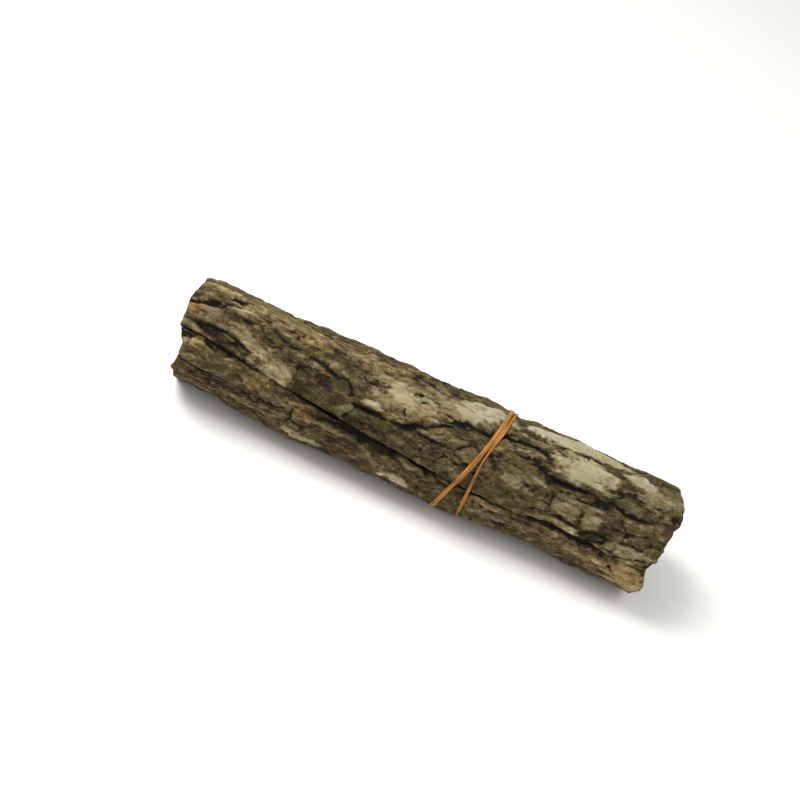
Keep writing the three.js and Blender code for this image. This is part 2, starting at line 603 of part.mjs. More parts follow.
function solidOf(geometry) {
  const bare = geometry.clone();
  bare.deleteAttribute("normal");
  bare.deleteAttribute("uv");
  const merged = mergeVertices(bare, 1e-4);
  return new wasm.Manifold(
    new wasm.Mesh({
      numProp: 3,
      vertProperties: merged.attributes.position.array,
      triVerts: new Uint32Array(merged.index.array),
    }),
  );
}

// The whole tie as one string: two turns, the knot and its two loose ends
function raffiaGeometry() {
  const paths = TURNS.map((turn, i) => turnPath(turn, 2 * i - 1));
  const knotRadius = Math.max(...paths.map((path) => path[0][2]));
  const knot = new THREE.SphereGeometry(1, 12, 8).scale(...KNOT.radii).applyMatrix4(knotTurn(knotRadius));
  const pieces = [
    ...paths.map((path, i) => strand(path, TURNS[i].width)),
    ...TAILS.map((tail) => strand(tailPath(tail, knotRadius), tail.width)),
    knot,
  ].map(solidOf);
  const joined = pieces.reduce((whole, piece) => whole.add(piece)).getMesh();
  const geometry = new THREE.BufferGeometry();
  geometry.setAttribute("position", new THREE.BufferAttribute(joined.vertProperties, 3));
  geometry.setIndex(new THREE.BufferAttribute(joined.triVerts, 1));
  geometry.computeVertexNormals();
  return geometry;
}

// Carries a shape made round the origin, +X outwards, to the knot's place
function knotTurn(radius) {
  const out = place(0, degrees(KNOT.angle), radius + 1).sub(place(0, degrees(KNOT.angle), radius));
  const along = new THREE.Vector3(1, 0, 0);
  const round = new THREE.Vector3().crossVectors(out, along);
  const centre = place(KNOT.x, degrees(KNOT.angle), radius + KNOT.radii[0] - RAFFIA_THICKNESS / 2);
  return new THREE.Matrix4().makeBasis(out, along, round).setPosition(centre);
}

function part(name, geometry, colour, roughness) {
  const material = new THREE.MeshStandardMaterial({ color: colour, roughness, metalness: 0 });
  const mesh = new THREE.Mesh(geometry, material);
  mesh.name = name;
  return mesh;
}

const group = new THREE.Group();
group.add(part("bark_tube", barkGeometry(), BARK_COLOUR, 0.92));
group.add(part("raffia_tie", raffiaGeometry(), RAFFIA_COLOUR, 0.6));

export default group;
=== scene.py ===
"""A length of rough bark, curled into a hollow tube and tied with two turns of raffia.

Sizes are millimetres until a mesh is written, then metres. +X runs along the tube, +Z is up and
the front is -Y. Angles go round the tube from the front (0) over the top (90) to the back (180).
"""

import logging
import math
from dataclasses import dataclass
from enum import Enum

import bpy
import numpy as np
from mathutils import Matrix, Vector


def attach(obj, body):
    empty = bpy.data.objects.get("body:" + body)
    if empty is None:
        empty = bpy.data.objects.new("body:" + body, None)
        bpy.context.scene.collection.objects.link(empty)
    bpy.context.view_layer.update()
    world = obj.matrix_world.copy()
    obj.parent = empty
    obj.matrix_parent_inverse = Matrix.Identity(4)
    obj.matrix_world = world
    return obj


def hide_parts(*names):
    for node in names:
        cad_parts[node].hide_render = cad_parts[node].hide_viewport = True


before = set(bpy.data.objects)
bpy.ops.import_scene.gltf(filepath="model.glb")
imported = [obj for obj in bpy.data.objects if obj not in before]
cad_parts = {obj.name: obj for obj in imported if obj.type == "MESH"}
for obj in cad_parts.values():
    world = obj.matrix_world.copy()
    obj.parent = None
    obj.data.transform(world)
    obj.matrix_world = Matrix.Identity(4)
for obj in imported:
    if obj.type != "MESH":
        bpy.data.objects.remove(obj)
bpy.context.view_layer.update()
log = logging.getLogger("bark")

Array = np.ndarray
Point = tuple[float, float]
Colour = tuple[float, float, float, float]
Stops = tuple[tuple[float, Colour], ...]
Socket = bpy.types.NodeSocket
Ribbon = tuple[Array, Array, Array]  # points, faces, and the strand's own coordinates
MM = 0.001
FULL_TURN = 2 * math.pi
CELL_START = 50  # moves the noise away from its zero
CELL_MIDDLE = 0.5


# Numbers and noise


def smoothstep(value: Array, low: float, high: float) -> Array:
    """Rises from 0 at low to 1 at high along 3t^2 - 2t^3, with t the share of the way."""
    t = np.clip((np.asarray(value, float) - low) / (high - low), 0, 1)
    return t * t * (3 - 2 * t)


def blend(low: Array, high: Array, share: Array) -> Array:
    """Straight mix: low + (high - low) * share."""
    return low + (high - low) * share


def unit(vectors: Array) -> Array:
    """Vectors on the last axis, each divided by its length."""
    return vectors / np.maximum(np.linalg.norm(vectors, axis=-1, keepdims=True), 1e-6)


def lattice(i: Array, j: Array, k: Array, seed: int) -> Array:
    """A repeatable number from 0 to 1 at each whole-number place.

    Each number is multiplied by its own large odd number, all are xored, and the bits are mixed by
    shifts and two more products, all in 32 bits.

    Args:
        i: first place.
        j: second place.
        k: third place.
        seed: picks another draw.

    Returns:
        The numbers.
    """
    mixed = np.uint32((seed * 0x5BD1E995) & 0xFFFFFFFF)
    for number, factor in zip((i, j, k), (0x27D4EB2D, 0x165667B1, 0x1B873593)):
        bits = (np.asarray(number).astype(np.int64) & 0xFFFFFFFF).astype(np.uint32)
        mixed = mixed ^ (bits * np.uint32(factor))
    for shift, factor in ((15, 0x85EBCA6B), (13, 0xC2B2AE35)):
        mixed = (mixed ^ (mixed >> np.uint32(shift))) * np.uint32(factor)
    return (mixed ^ (mixed >> np.uint32(16))) / 2**32


def noise(x: Array, y: Array, z: Array, seed: int) -> Array:
    """Smooth noise from -1 to 1: the lattice at a cell's corners, mixed by t^3(6t^2 - 15t + 10).

    Args:
        x: first coordinate, one cell to each whole number.
        y: second coordinate.
        z: third coordinate.
        seed: picks another draw.

    Returns:
        The noise.
    """
    x, y, z = np.broadcast_arrays(np.asarray(x, float), y, z)
    i, j, k = np.floor(x), np.floor(y), np.floor(z)
    u, v, w = (t * t * t * (t * (t * 6 - 15) + 10) for t in (x - i, y - j, z - k))
    edges = [
        blend(lattice(i, j + dj, k + dk, seed), lattice(i + 1, j + dj, k + dk, seed), u)
        for dk in (0, 1) for dj in (0, 1)
    ]
    return 2 * blend(blend(edges[0], edges[1], v), blend(edges[2], edges[3], v), w) - 1


def sheet_noise(x: Array, around: Array, length: float, width: float, seed: int) -> Array:
    """Noise on the unrolled sheet, in cells of that length and width."""
    return noise(x / length + CELL_START, around / width + CELL_START, CELL_MIDDLE, seed)


def octaves(x: Array, around: Array, *rows: tuple[float, float, float, int]) -> Array:
    """Sum of sheet noises; a row is one noise's height, cell length, cell width and seed."""
    return sum(high * sheet_noise(x, around, long, wide, seed) for high, long, wide, seed in rows)


def line_noise(at: Array, *rows: tuple[float, float, int]) -> Array:
    """Sum of noises along a line.

    Args:
        at: place along the line.
        rows: each noise's height, cell length and seed.

    Returns:
        The sum at each place.
    """
    return sum(
        high * noise(at / long + CELL_START, CELL_MIDDLE, CELL_MIDDLE, seed)
        for high, long, seed in rows
    )


def cells(x: Array, around: Array, length: float, width: float, seed: int) -> tuple[Array, Array]:
    """Irregular plates: each place belongs to the nearest of one random point per grid square.

    The rim between two points is the line equally far from both, counted in cell sizes. Its
    distance in millimetres is half the difference of the squared distances, divided by the length
    of that difference's slope.

    Args:
        x: place along the tube.
        around: distance round the tube.
        length: mean plate length.
        width: mean plate width.
        seed: picks another draw.

    Returns:
        The distance to the plate's rim in millimetres, and the plate's own number from 0 to 1.
    """
    u, v = x / length + CELL_START, around / width + CELL_START
    i, j = np.floor(u), np.floor(v)
    points = []
    for di in (-1, 0, 1):
        for dj in (-1, 0, 1):
            du, dv, own_number = (lattice(i + di, j + dj, draw, seed) for draw in (1, 2, 3))
            pu, pv = i + di + du, j + dj + dv
            points.append((pu, pv, (u - pu) ** 2 + (v - pv) ** 2, own_number))
    nearest = np.argmin([point[2] for point in points], axis=0)
    own = [np.choose(nearest, [point[part] for point in points]) for part in range(4)]
    rim = np.full(u.shape, 99.0)
    for n, (pu, pv, away, _) in enumerate(points):
        slope = np.hypot((pu - own[0]) / length, (pv - own[1]) / width)
        distance = (away - own[2]) / 2 / np.maximum(slope, 1e-9)
        rim = np.where(nearest == n, rim, np.minimum(rim, distance))
    return rim, own[3]


def terraces(height: Array, level_share: float) -> Array:
    """Steps of height 1: level for that share of each step, then a quick rise to the next."""
    level = np.floor(height)
    return level + smoothstep(height - level, level_share, 1)


def groove(distance: Array, width: float) -> Array:
    """A rounded valley: exp(-(distance / width)^1.5)."""
    return np.exp(-np.power(np.abs(distance) / width, 1.5))


def blurred(values: Array, along: int, around: int) -> Array:
    """Box blur of a grid, twice each way, by differences of running sums.

    Args:
        values: the grid.
        along: half width of the box down the rows.
        around: half width of the box across them.

    Returns:
        The blurred grid.
    """
    for axis, half in ((0, along), (1, around)) * 2:
        pad = [(half + 1, half) if a == axis else (0, 0) for a in range(2)]
        sums = np.cumsum(np.pad(values, pad, mode="edge"), axis=axis)
        size, span = values.shape[axis], 2 * half + 1
        high, low = (np.take(sums, range(at, at + size), axis=axis) for at in (span, 0))
        values = (high - low) / span
    return values


# The tube's measures


@dataclass(frozen=True)
class Eye:
    """Where the near side was measured from, and where the camera stands."""

    elevation: float = 38.0  # degrees above the level through the tube's axis
    distance: float = 850.0
    along: float = 129.6  # the point looked at, in measured millimetres
    across: float = 12.2
    roll: float = 24.4
    field_width: float = 446.0  # width of the picture at the tube

    def facing(self, angle: Array) -> Array:
        """An angle round the tube, counted from the line of sight."""
        return angle - math.radians(self.elevation)


@dataclass(frozen=True)
class Tube:
    """The tube's main sizes, as in the solid."""

    crest_radius: float = 31.5
    bore_radius: float = 22.4
    least_wall: float = 3.2
    axis_height: float = 30.7
    axis_back: float = 0.22
    middle_along: float = 149.65
    slit_lean: float = 5.0  # degrees that the slit turns on its way in
    ridge_sink: float = 0.3  # how far the mean of the ridges lies inside the crests
    belly_lift: float = 5.3
    belly_degrees: float = 30.0
    belly_reach: Point = (60, 95)  # the lift ends between these distances from the middle
    foot_sink: float = 0.8

    @property
    def girth(self) -> float:
        """The way round the crests."""
        return FULL_TURN * self.crest_radius


@dataclass(frozen=True)
class Furrow:
    """A furrow along [along, across] points seen from the front.

    With a slope, its lower side rises gently over that many millimetres and its upper side stays
    steep, as under the edge of a thick plate.
    """

    depth: float
    width: float
    slope: float
    path: list[Point]


@dataclass(frozen=True)
class Patch:
    """An oval on the near side: a plate, a pit or a coloured place."""

    along: float
    across: float
    length: float
    width: float
    amount: float = 1
    turned: float = 0
    square: float = 2  # 2 for an oval, more for one with corners

    def cover(self, x: Array, around: Array, inner: float = 0.7, outer: float = 1.25) -> Array:
        """How far each place is inside the oval: 1 inside, falling to 0 over its rim.

        Args:
            x: place along the tube.
            around: distance round it.
            inner: where the fall starts, in oval radii.
            outer: where it ends.

        Returns:
            The share, 0 to 1.
        """
        centre = on_tube([(self.along, self.across)])[0]
        dx, dy = x - centre[0], near_turn(around, centre[1]) - centre[1]
        c, s = math.cos(math.radians(self.turned)), math.sin(math.radians(self.turned))
        along, across = np.abs(dx * c + dy * s), np.abs(dy * c - dx * s)
        reach = (along / self.length) ** self.square + (across / self.width) ** self.square
        return 1 - smoothstep(reach ** (1 / self.square), inner, outer)


def patches(*rows: tuple[float, ...]) -> list[Patch]:
    """Ovals from rows of along, across, length, width, and where needed the rest in order."""
    return [Patch(*row) for row in rows]


EYE = Eye()
TUBE = Tube()

# The slit: its line, [x, gap], and [x, depth, width] of the groove that it lies in
SLIT: list[Point] = [
    (2, -1), (16, -0.6), (32, -3.8), (57, -7), (78, -10), (100, -12.8), (118, -14.8), (130, -15.9),
    (145, -16.7), (155, -18.4), (164, -17.6), (182, -18.9), (212, -19.4), (232, -17.6),
    (252, -19.2), (270, -19), (296, -18.8),
]
SLIT_GAPS: list[Point] = [
    (-149, 0.7), (-116, 0.6), (-104, 0.3), (-76, 0.3), (-62, 1.2), (-10, 1.2), (8, 0.5), (30, 0.3),
    (149, 0.3),
]
SLIT_GROOVES: list[tuple[float, float, float]] = [
    (-149, 3.6, 2.4), (-120, 3, 2.2), (-102, 1.3, 1.2), (-80, 1.2, 1.2), (-66, 4.6, 3),
    (-12, 4.8, 3.2), (8, 3, 1.8), (30, 1.8, 1.2), (78, 1.7, 1.2), (92, 3.8, 2.2), (108, 3.8, 2.2),
    (122, 1.6, 1.2), (149, 1.6, 1.2),
]
SLIT_SIDES: Point = (1.5, 0.8)  # how much wider the groove is below the line, and above it
FURROWS: list[Furrow] = [
    Furrow(2.1, 1.6, 0, [(-2, 15.5), (8, 17.5), (14, 20.5), (24, 25.5), (29, 24.5)]),
    Furrow(1.8, 1.6, 0, [
        (19, 21.5), (30, 23.3), (38, 23), (45, 21.5), (51, 18.5), (58, 16), (76, 14), (84, 13.2),
        (90, 11), (99, 10.3),
    ]),
    Furrow(2.2, 1.1, 0, [
        (99, 10.3), (102, 7.5), (105, 2.5), (108, 0), (108, -4.5), (105, -9), (101, -11.5),
    ]),
    Furrow(3.2, 2.1, 4.5, [
        (107, 0), (126, -1.2), (138, -0.5), (146, 3), (153, 6), (159, 9.5), (163, 13.5),
        (168, 15.6), (176, 15.8), (184, 15.5), (191, 19.5), (199, 19.8), (207, 21), (214, 20.5),
        (220, 18),
    ]),
    Furrow(3.4, 2.7, 5, [
        (212, 14), (217, 10.5), (222, 8.8), (230, 7.5), (240, 8.3), (252, 9.6), (262, 9),
        (270, 6.5), (280, 6), (288, 9), (298, 11.8),
    ]),
    Furrow(1.3, 0.7, 0, [
        (212, 27.8), (222, 26.5), (231, 25.5), (241, 25.5), (250, 24.6), (256, 25.3), (261, 27.5),
        (265, 29.3),
    ]),
    Furrow(1.4, 1, 0, [(146, 0), (158, -1.3), (168, -1.8), (171, 1), (176, 5.5)]),
    Furrow(1.4, 1, 0, [(169, -2.5), (177, -5.5), (184, -8.5)]),
    Furrow(0.8, 0.8, 0, [(71, 7), (70.6, 3.5), (70.3, -2), (69, -7.5)]),
    Furrow(0.5, 1.6, 0, [(28, -18.5), (40, -19), (49, -21.5), (58, -20)]),
    Furrow(1.3, 1, 0, [(77, -24), (77, -18), (80, -15)]),
    Furrow(1.2, 1.1, 0, [(84, -15.5), (91, -18), (98, -17), (108, -18.5)]),
    Furrow(1.4, 1.3, 0, [(122, -20), (135, -20.5), (146, -22.5)]),
    Furrow(1.1, 0.8, 0, [(229, -9), (229.5, -2), (231, 0.6)]),
    Furrow(1.1, 0.8, 0, [(243, 0), (247, -1.5), (248.5, -5.5), (249, -11)]),
    Furrow(1.4, 1.6, 2.5, [(248, -11.5), (240, -11.6), (231, -10.5), (222, -12)]),
    Furrow(1, 1, 0, [(262, -8), (276, -9.5), (286, -9), (298, -8.5)]),
    Furrow(1.3, 1, 0, [(250, -21), (258, -23.5), (266, -25), (274, -23.5)]),
    Furrow(1.5, 1.2, 0, [(40, 29), (60, 30), (72, 28.5), (90, 29.5)]),
]
# Noise that warps the sheet, and how much of it the furrows follow along and round
WARP_ALONG = ((4, 16, 7, 31), (2.2, 5, 3.4, 32), (0.8, 2.2, 1.6, 35))
WARP_ROUND = ((1.8, 20, 8, 33), (1.2, 5, 3.4, 34), (0.6, 2.2, 1.6, 36))
FURROWS_WARPED: Point = (0.5, 0.7)
PLATES = patches(
    (61, -1.8, 9.6, 6.6, 1.1, -2, 5), (39, 7.5, 15, 3.4, 0.7, -22), (8, 12.5, 8, 5, 0.9),
    (20, -11, 15, 8.5, 1.9, -4), (54, -12.5, 9, 6, 0.9, -5), (84, -20.5, 6, 3.8, 0.9),
    (148, -18.8, 9, 2.6, 0.8, -5), (89, 0, 17, 8.5, 0.7, -3), (126, 13, 12, 8, 0.9, -5),
    (113, 5, 8, 4, 0.8, 12), (147, 11, 11, 6, 0.7, 25), (172, 24.5, 18, 6.5, 1.5, 20),
    (231, 29, 28, 3, 1.1), (243, 18, 20, 7, 1.1), (272, 24.5, 9, 5, 0.9),
    (240, -6, 8, 4.4, 1, -12), (255, -5.5, 5.5, 3.6, 0.8, -8), (243, -14, 7, 2.4, 0.8, -4),
    (206, -4, 8, 2.6, 0.6, -6), (159, 3.6, 11, 3.8, 0.6, 5), (282, -13.5, 13, 4.2, 0.8),
    (284, 1, 11, 5.5, 0.6), (286, 21, 13, 8, 0.8), (277, -26.5, 20, 6.5, 1.6, -3, 3),
    (14, 27.5, 13, 3.6), (33, 20.3, 12, 2.6, 0.7), (56, 25, 10, 4.6, 0.8), (78, 23.5, 9, 5, 0.9),
    (136, -8, 29, 5.6, 0.9, -3, 3), (140, 10, 34, 9, 0.9, 14, 3), (210, -5, 16, 9, 0.8, 0, 3),
)
PITS = patches(
    (23, 4, 14, 4.2, 2.4, -5), (14, 19.8, 7, 2.2), (26, 26.3, 5, 1.8, 0.8),
    (259, -14, 9, 4.2, 2.6, 10), (241, 5.5, 22, 4, 1.6, -1), (114, 16.5, 8, 3, 0.9),
    (197, 21, 5, 2), (205, 13, 6, 1.8, 1.1), (124, -18, 38, 3, 1.1, -2, 3),
)

# Outlines: [x, radius] of the upper and lower edge, [across, along] of the ends, and the slant
# of the right end
UPPER_EDGE: list[Point] = [
    (-149, 30.6), (-130, 31.6), (-60, 31.4), (0, 32.9), (28, 32.2), (45, 31.2), (60, 31.8),
    (90, 33), (120, 32.2), (146, 32),
]
LOWER_EDGE: list[Point] = [
    (-145, 28), (-130, 27.7), (-115, 28.2), (-100, 29.2), (-86, 30.6), (-68, 33.2), (-55, 33.4),
    (-40, 32.8), (-10, 33.6), (10, 34.6), (22, 35), (50, 32.4), (80, 31), (100, 32.8), (122, 32.2),
    (137, 34.6), (146, 34),
]
LEFT_END: list[Point] = [
    (-31.5, 8.6), (-27, 7.4), (-25, 4.6), (-23, 5.4), (-18, 6.2), (-8, 5.9), (-5, 3), (0, 0.2),
    (5, 0.3), (12, 0.2), (17, -0.9), (22, 0.6), (27, 2.6), (31.5, 4.2),
]
RIGHT_END: list[Point] = [
    (-31.5, 290), (-29, 293.6), (-25, 295.8), (-21, 294.6), (-18, 292.4), (-15, 294.8),
    (-10, 297.6), (-8.5, 297.4), (-4, 300.4), (0, 300), (6, 299.4), (10, 298), (10.9, 295.4),
    (12.1, 295.2), (12.7, 301.8), (18, 301.2), (23, 299.6), (27, 296), (31.5, 292.6),
]
BEVEL: list[Point] = [
    (-9, 0), (-6, 0.9), (-1.4, 1.9), (3.2, 3), (7.9, 3.6), (10.6, 3.4), (11.2, 0),
]
# Worn feet: x, degrees from straight down, half length, half width in degrees
FEET: list[tuple[float, float, float, float]] = [
    (-102, 0, 26, 13), (104, -13, 24, 9), (110, 13, 22, 9),
]

# Where the near side is coloured otherwise: pale lichen, bare tan bark, and dark places
LICHEN = patches(
    (61.5, -1.8, 8.6, 6.2, 0.6, -2, 5), (48, -3, 6, 2.4, 0.6, -6), (45, 7, 8, 2.6, 0.5, -40),
    (37, 8.5, 10, 4.2, 0.5, -25), (129, 15.5, 9.5, 7.5, 0.82, -8), (121, 6.5, 8, 3.6, 0.8, 6),
    (174, 24, 19, 6.5, 0.95, 18), (148, 17, 14, 3.5, 0.6, 22), (236, 28.6, 30, 5, 1.25, 0, 3),
    (243, 18.8, 18.5, 8, 1.1, 0, 3), (228, 23, 9, 4, 0.6), (272, 24.5, 10, 4.8, 0.85),
    (86, -28.6, 13, 3.2, 0.75), (143, -27.8, 10, 3.4, 1.2), (240, -5.8, 8, 4.2, 0.42, -12),
    (255, -5.5, 5, 3.4, 0.46), (246, -14.5, 8, 3, 0.7, -4), (282, -14, 13, 4, 0.42),
    (206, -4, 9, 2.4, 0.5, -6), (137, 11, 12, 4.5, 0.4, 18), (24, 8, 11, 3, 0.35, -12),
    (286, 20, 13, 7, 0.4), (157, 3, 9, 2.5, 0.36, 5), (148, 19, 30, 8, 0.42, 10, 3),
    (121, 22, 15, 6, 0.36, 0, 3), (123, 9, 12, 4, 0.5, 10), (46, 27, 46, 5, 0.3, -2, 3),
    (14, 28, 12, 3, 0.35), (124, 27, 7, 3, 0.3), (68, 21, 10, 3, 0.25), (214, 5, 14, 6, 0.2),
    (60, -25, 24, 3, 0.3), (280, -27, 14, 4.5, 0.26, -3, 3), (283, 25, 12, 4, 0.2, 0, 3),
    # The first oval on the next line, under the slit, is partly paler bark and partly painted
    # highlight on the lit lower lip
    (152, -19.5, 14, 2.6, 0.7, -3), (100, -19, 12, 2, 0.3, -3), (6, 0, 8, 5, 0.5, -10),
    (103, -5, 4, 5, 0.45), (172, 1, 6, 6, 0.25), (70, -16, 9, 3, 0.28), (196, -25.5, 12, 3, 0.3),
    (286, -23.5, 11, 6, 0.28, 0, 3), (254, 17.6, 5, 3.2, 0.8, 0, 5),
)
TAN = patches(
    (5, 13.5, 5, 3.5), (13, -5, 9, 4, 0.9), (55, -12, 9, 4, 0.8, -5), (75, 22.5, 12, 4.4),
    (128, 1.8, 6, 2.4, 0.9), (276, -26, 22, 7, 1, -3), (195, -22, 8, 3, 0.9),
    (84, -17, 10, 5, 0.6), (86, 9.5, 4, 1.4, 0.9), (14, 27, 14, 4, 0.8), (56, 25, 11, 5, 0.5),
    # The last oval on the next line, under the slit, is partly tan bark and partly painted
    # highlight on the lit lower lip
    (140, 12, 15, 5, 0.5, 20), (230, -24, 24, 3, 0.5), (150, -19, 10, 2.4, 0.7),
    (192, 13, 5, 4, 0.6), (30, 24, 20, 5, 0.4, -10), (6, -17, 5, 7, 0.6), (112, 25, 20, 5, 0.35),
    (160, 13, 16, 3, 0.4, 30), (279, -27, 14, 4.5, 1.2, -3), (286, -23.5, 11, 6, 1.2),
)
# Dark ovals: partly darker bark, partly painted shadow over pits, along furrows and under the
# slit's upper lip
DARK_AND_SHADOW = patches(
    (25, 3.5, 14, 4.5, 1, -5), (89, 0, 18, 9, 0.95, -3, 3), (136, -7.5, 30, 6, 0.85, -3, 3),
    (240, 6.5, 26, 4.5, 0.8, -1), (259, -14, 10, 5, 1, 10), (22, -12, 15, 8, 0.4),
    (62, 16, 26, 3, 0.5, -8), (200, 20, 14, 3, 0.7, 3), (100, 17, 17, 4, 0.45),
    (125, -16.9, 42, 3, 1.7, -3, 3), (258, -18.4, 14, 1.8, 0.9, 0, 3), (20, -1.5, 18, 2, 0.9, -3),
    (268, 10, 18, 4, 0.5), (214, -13, 18, 5, 0.5), (110, -20, 30, 2.5, 0.4), (40, -22, 22, 3, 0.4),
    (172, 4, 12, 9, 0.3, 10), (264, -8, 7, 5, 0.5), (113, -5.5, 22, 6, 1.15, -3),
    (89, 15.5, 7, 2.5, 0.7), (282, 4, 9, 3, 0.45), (226, -22, 16, 3, 0.5),
    (143, 4.5, 12, 2, 0.5, 15), (222, 16, 5, 3, 0.6), (260, 20, 5, 5, 0.5),
    (15, 13.5, 5, 2.6, 0.6), (86, 14.3, 8, 2.4, 0.5), (252, 12, 7, 2.4, 0.7),
    (237, 1, 9, 2.2, 0.6), (225, -23, 16, 3.4, 0.4), (87, -18, 9, 2.4, 0.5), (280, 2, 8, 2.6, 0.4),
    (116, -14.3, 22, 1.3, 1.8, -3.5, 5),
)


def on_tube(points: list[Point]) -> Array:
    """Carries points seen from the front onto the tube.

    A point's side angle is asin(across / radius). The nearer the surface, the larger it looked, so
    both measures shrink towards the point looked at by 1 - radius * cos(side) / distance.

    Args:
        points: [along, across] as seen.

    Returns:
        Rows of [x, distance round the tube].
    """
    along, across = np.array(points, float).T
    side = np.cos(np.arcsin(np.clip(across / TUBE.crest_radius, -1, 1)))
    nearer = 1 - TUBE.crest_radius * side / EYE.distance
    level = across + (EYE.across - across) * (1 - nearer) * side
    angle = math.radians(EYE.elevation) + np.arcsin(np.clip(level / TUBE.crest_radius, -1, 1))
    x = EYE.along + (along - EYE.along) * nearer - TUBE.middle_along
    return np.stack([x, angle * TUBE.crest_radius], axis=1)


def near_turn(around: Array, other: Array) -> Array:
    """The same place round the tube, counted in whole turns to lie nearest to another."""
    return around - TUBE.girth * np.round((around - other) / TUBE.girth)


def to_path(x: Array, around: Array, path: Array) -> tuple[Array, Array]:
    """Distance from each place to a broken line on the unrolled sheet.

    Args:
        x: place along the tube.
        around: distance round it.
        path: the line's corners, as [x, around].

    Returns:
        The shortest of the distances to its straight pieces, and the height above the nearest
        point of the line, negative below it.
    """
    y = near_turn(around, path[len(path) // 2, 1])
    best, above = np.full(np.shape(y), 1e9), np.zeros(np.shape(y))
    for (ax, ay), (dx, dy) in zip(path, np.diff(path, axis=0)):
        share = np.clip(((x - ax) * dx + (y - ay) * dy) / (dx * dx + dy * dy), 0, 1)
        away = np.hypot(x - ax - share * dx, y - ay - share * dy)
        above = np.where(away < best, y - ay - share * dy, above)
        best = np.minimum(best, away)
    return best, above


def table(x: Array, rows: list[tuple[float, ...]], column: int = 1) -> Array:
    """Straight reading of a table's column at x, which is its first column."""
    return np.interp(x, *np.array(rows)[:, [0, column]].T)


def place(x: Array, angle: Array, radius: Array) -> Array:
    """Points at a radius and angle round the tube's axis, with x, y, z on the last axis."""
    y, z = TUBE.axis_back - radius * np.cos(angle), TUBE.axis_height + radius * np.sin(angle)
    return np.stack(np.broadcast_arrays(x, y, z), axis=-1)


@dataclass(frozen=True)
class BackPlates:
    """The side that wasn't measured, by rule: long plates with furrows between them."""

    length: float = 46
    width: float = 13.5
    furrow_depth: float = 3.6
    furrow_width: float = 1.7
    step: float = 1.3
    middle: float = 217  # degrees of the middle of the far side
    fade: Point = (71, 99)  # degrees from there between which the plates fade out

    def share(self, angle: Array) -> Array:
        """1 on the far side, falling to 0 where the measured side begins."""
        return 1 - smoothstep(np.abs(np.mod(np.degrees(angle), 360) - self.middle), *self.fade)

    def relief(self, x: Array, around: Array, angle: Array) -> tuple[Array, Array]:
        """Furrow depth and plate height, from irregular cells on a slowly warped sheet.

        Args:
            x: place along the tube.
            around: distance round it.
            angle: angle round it.

        Returns:
            Depth of the furrows and height of the plates, in millimetres.
        """
        share = self.share(angle)
        wx = x + octaves(x, around, (9, 30, 14, 21))
        wy = around + octaves(x, around, (3.2, 24, 12, 22))
        rim, number = cells(wx, wy, self.length, self.width, 23)
        strength = smoothstep(sheet_noise(x, around, 26, 12, 24), -0.75, 0.25)
        wide = self.furrow_width * (1 + octaves(x, around, (0.4, 15, 9, 25)))
        cut = self.furrow_depth * (0.25 + 0.75 * strength) * groove(rim, wide)
        return cut * share, self.step * (number - 0.5) * share


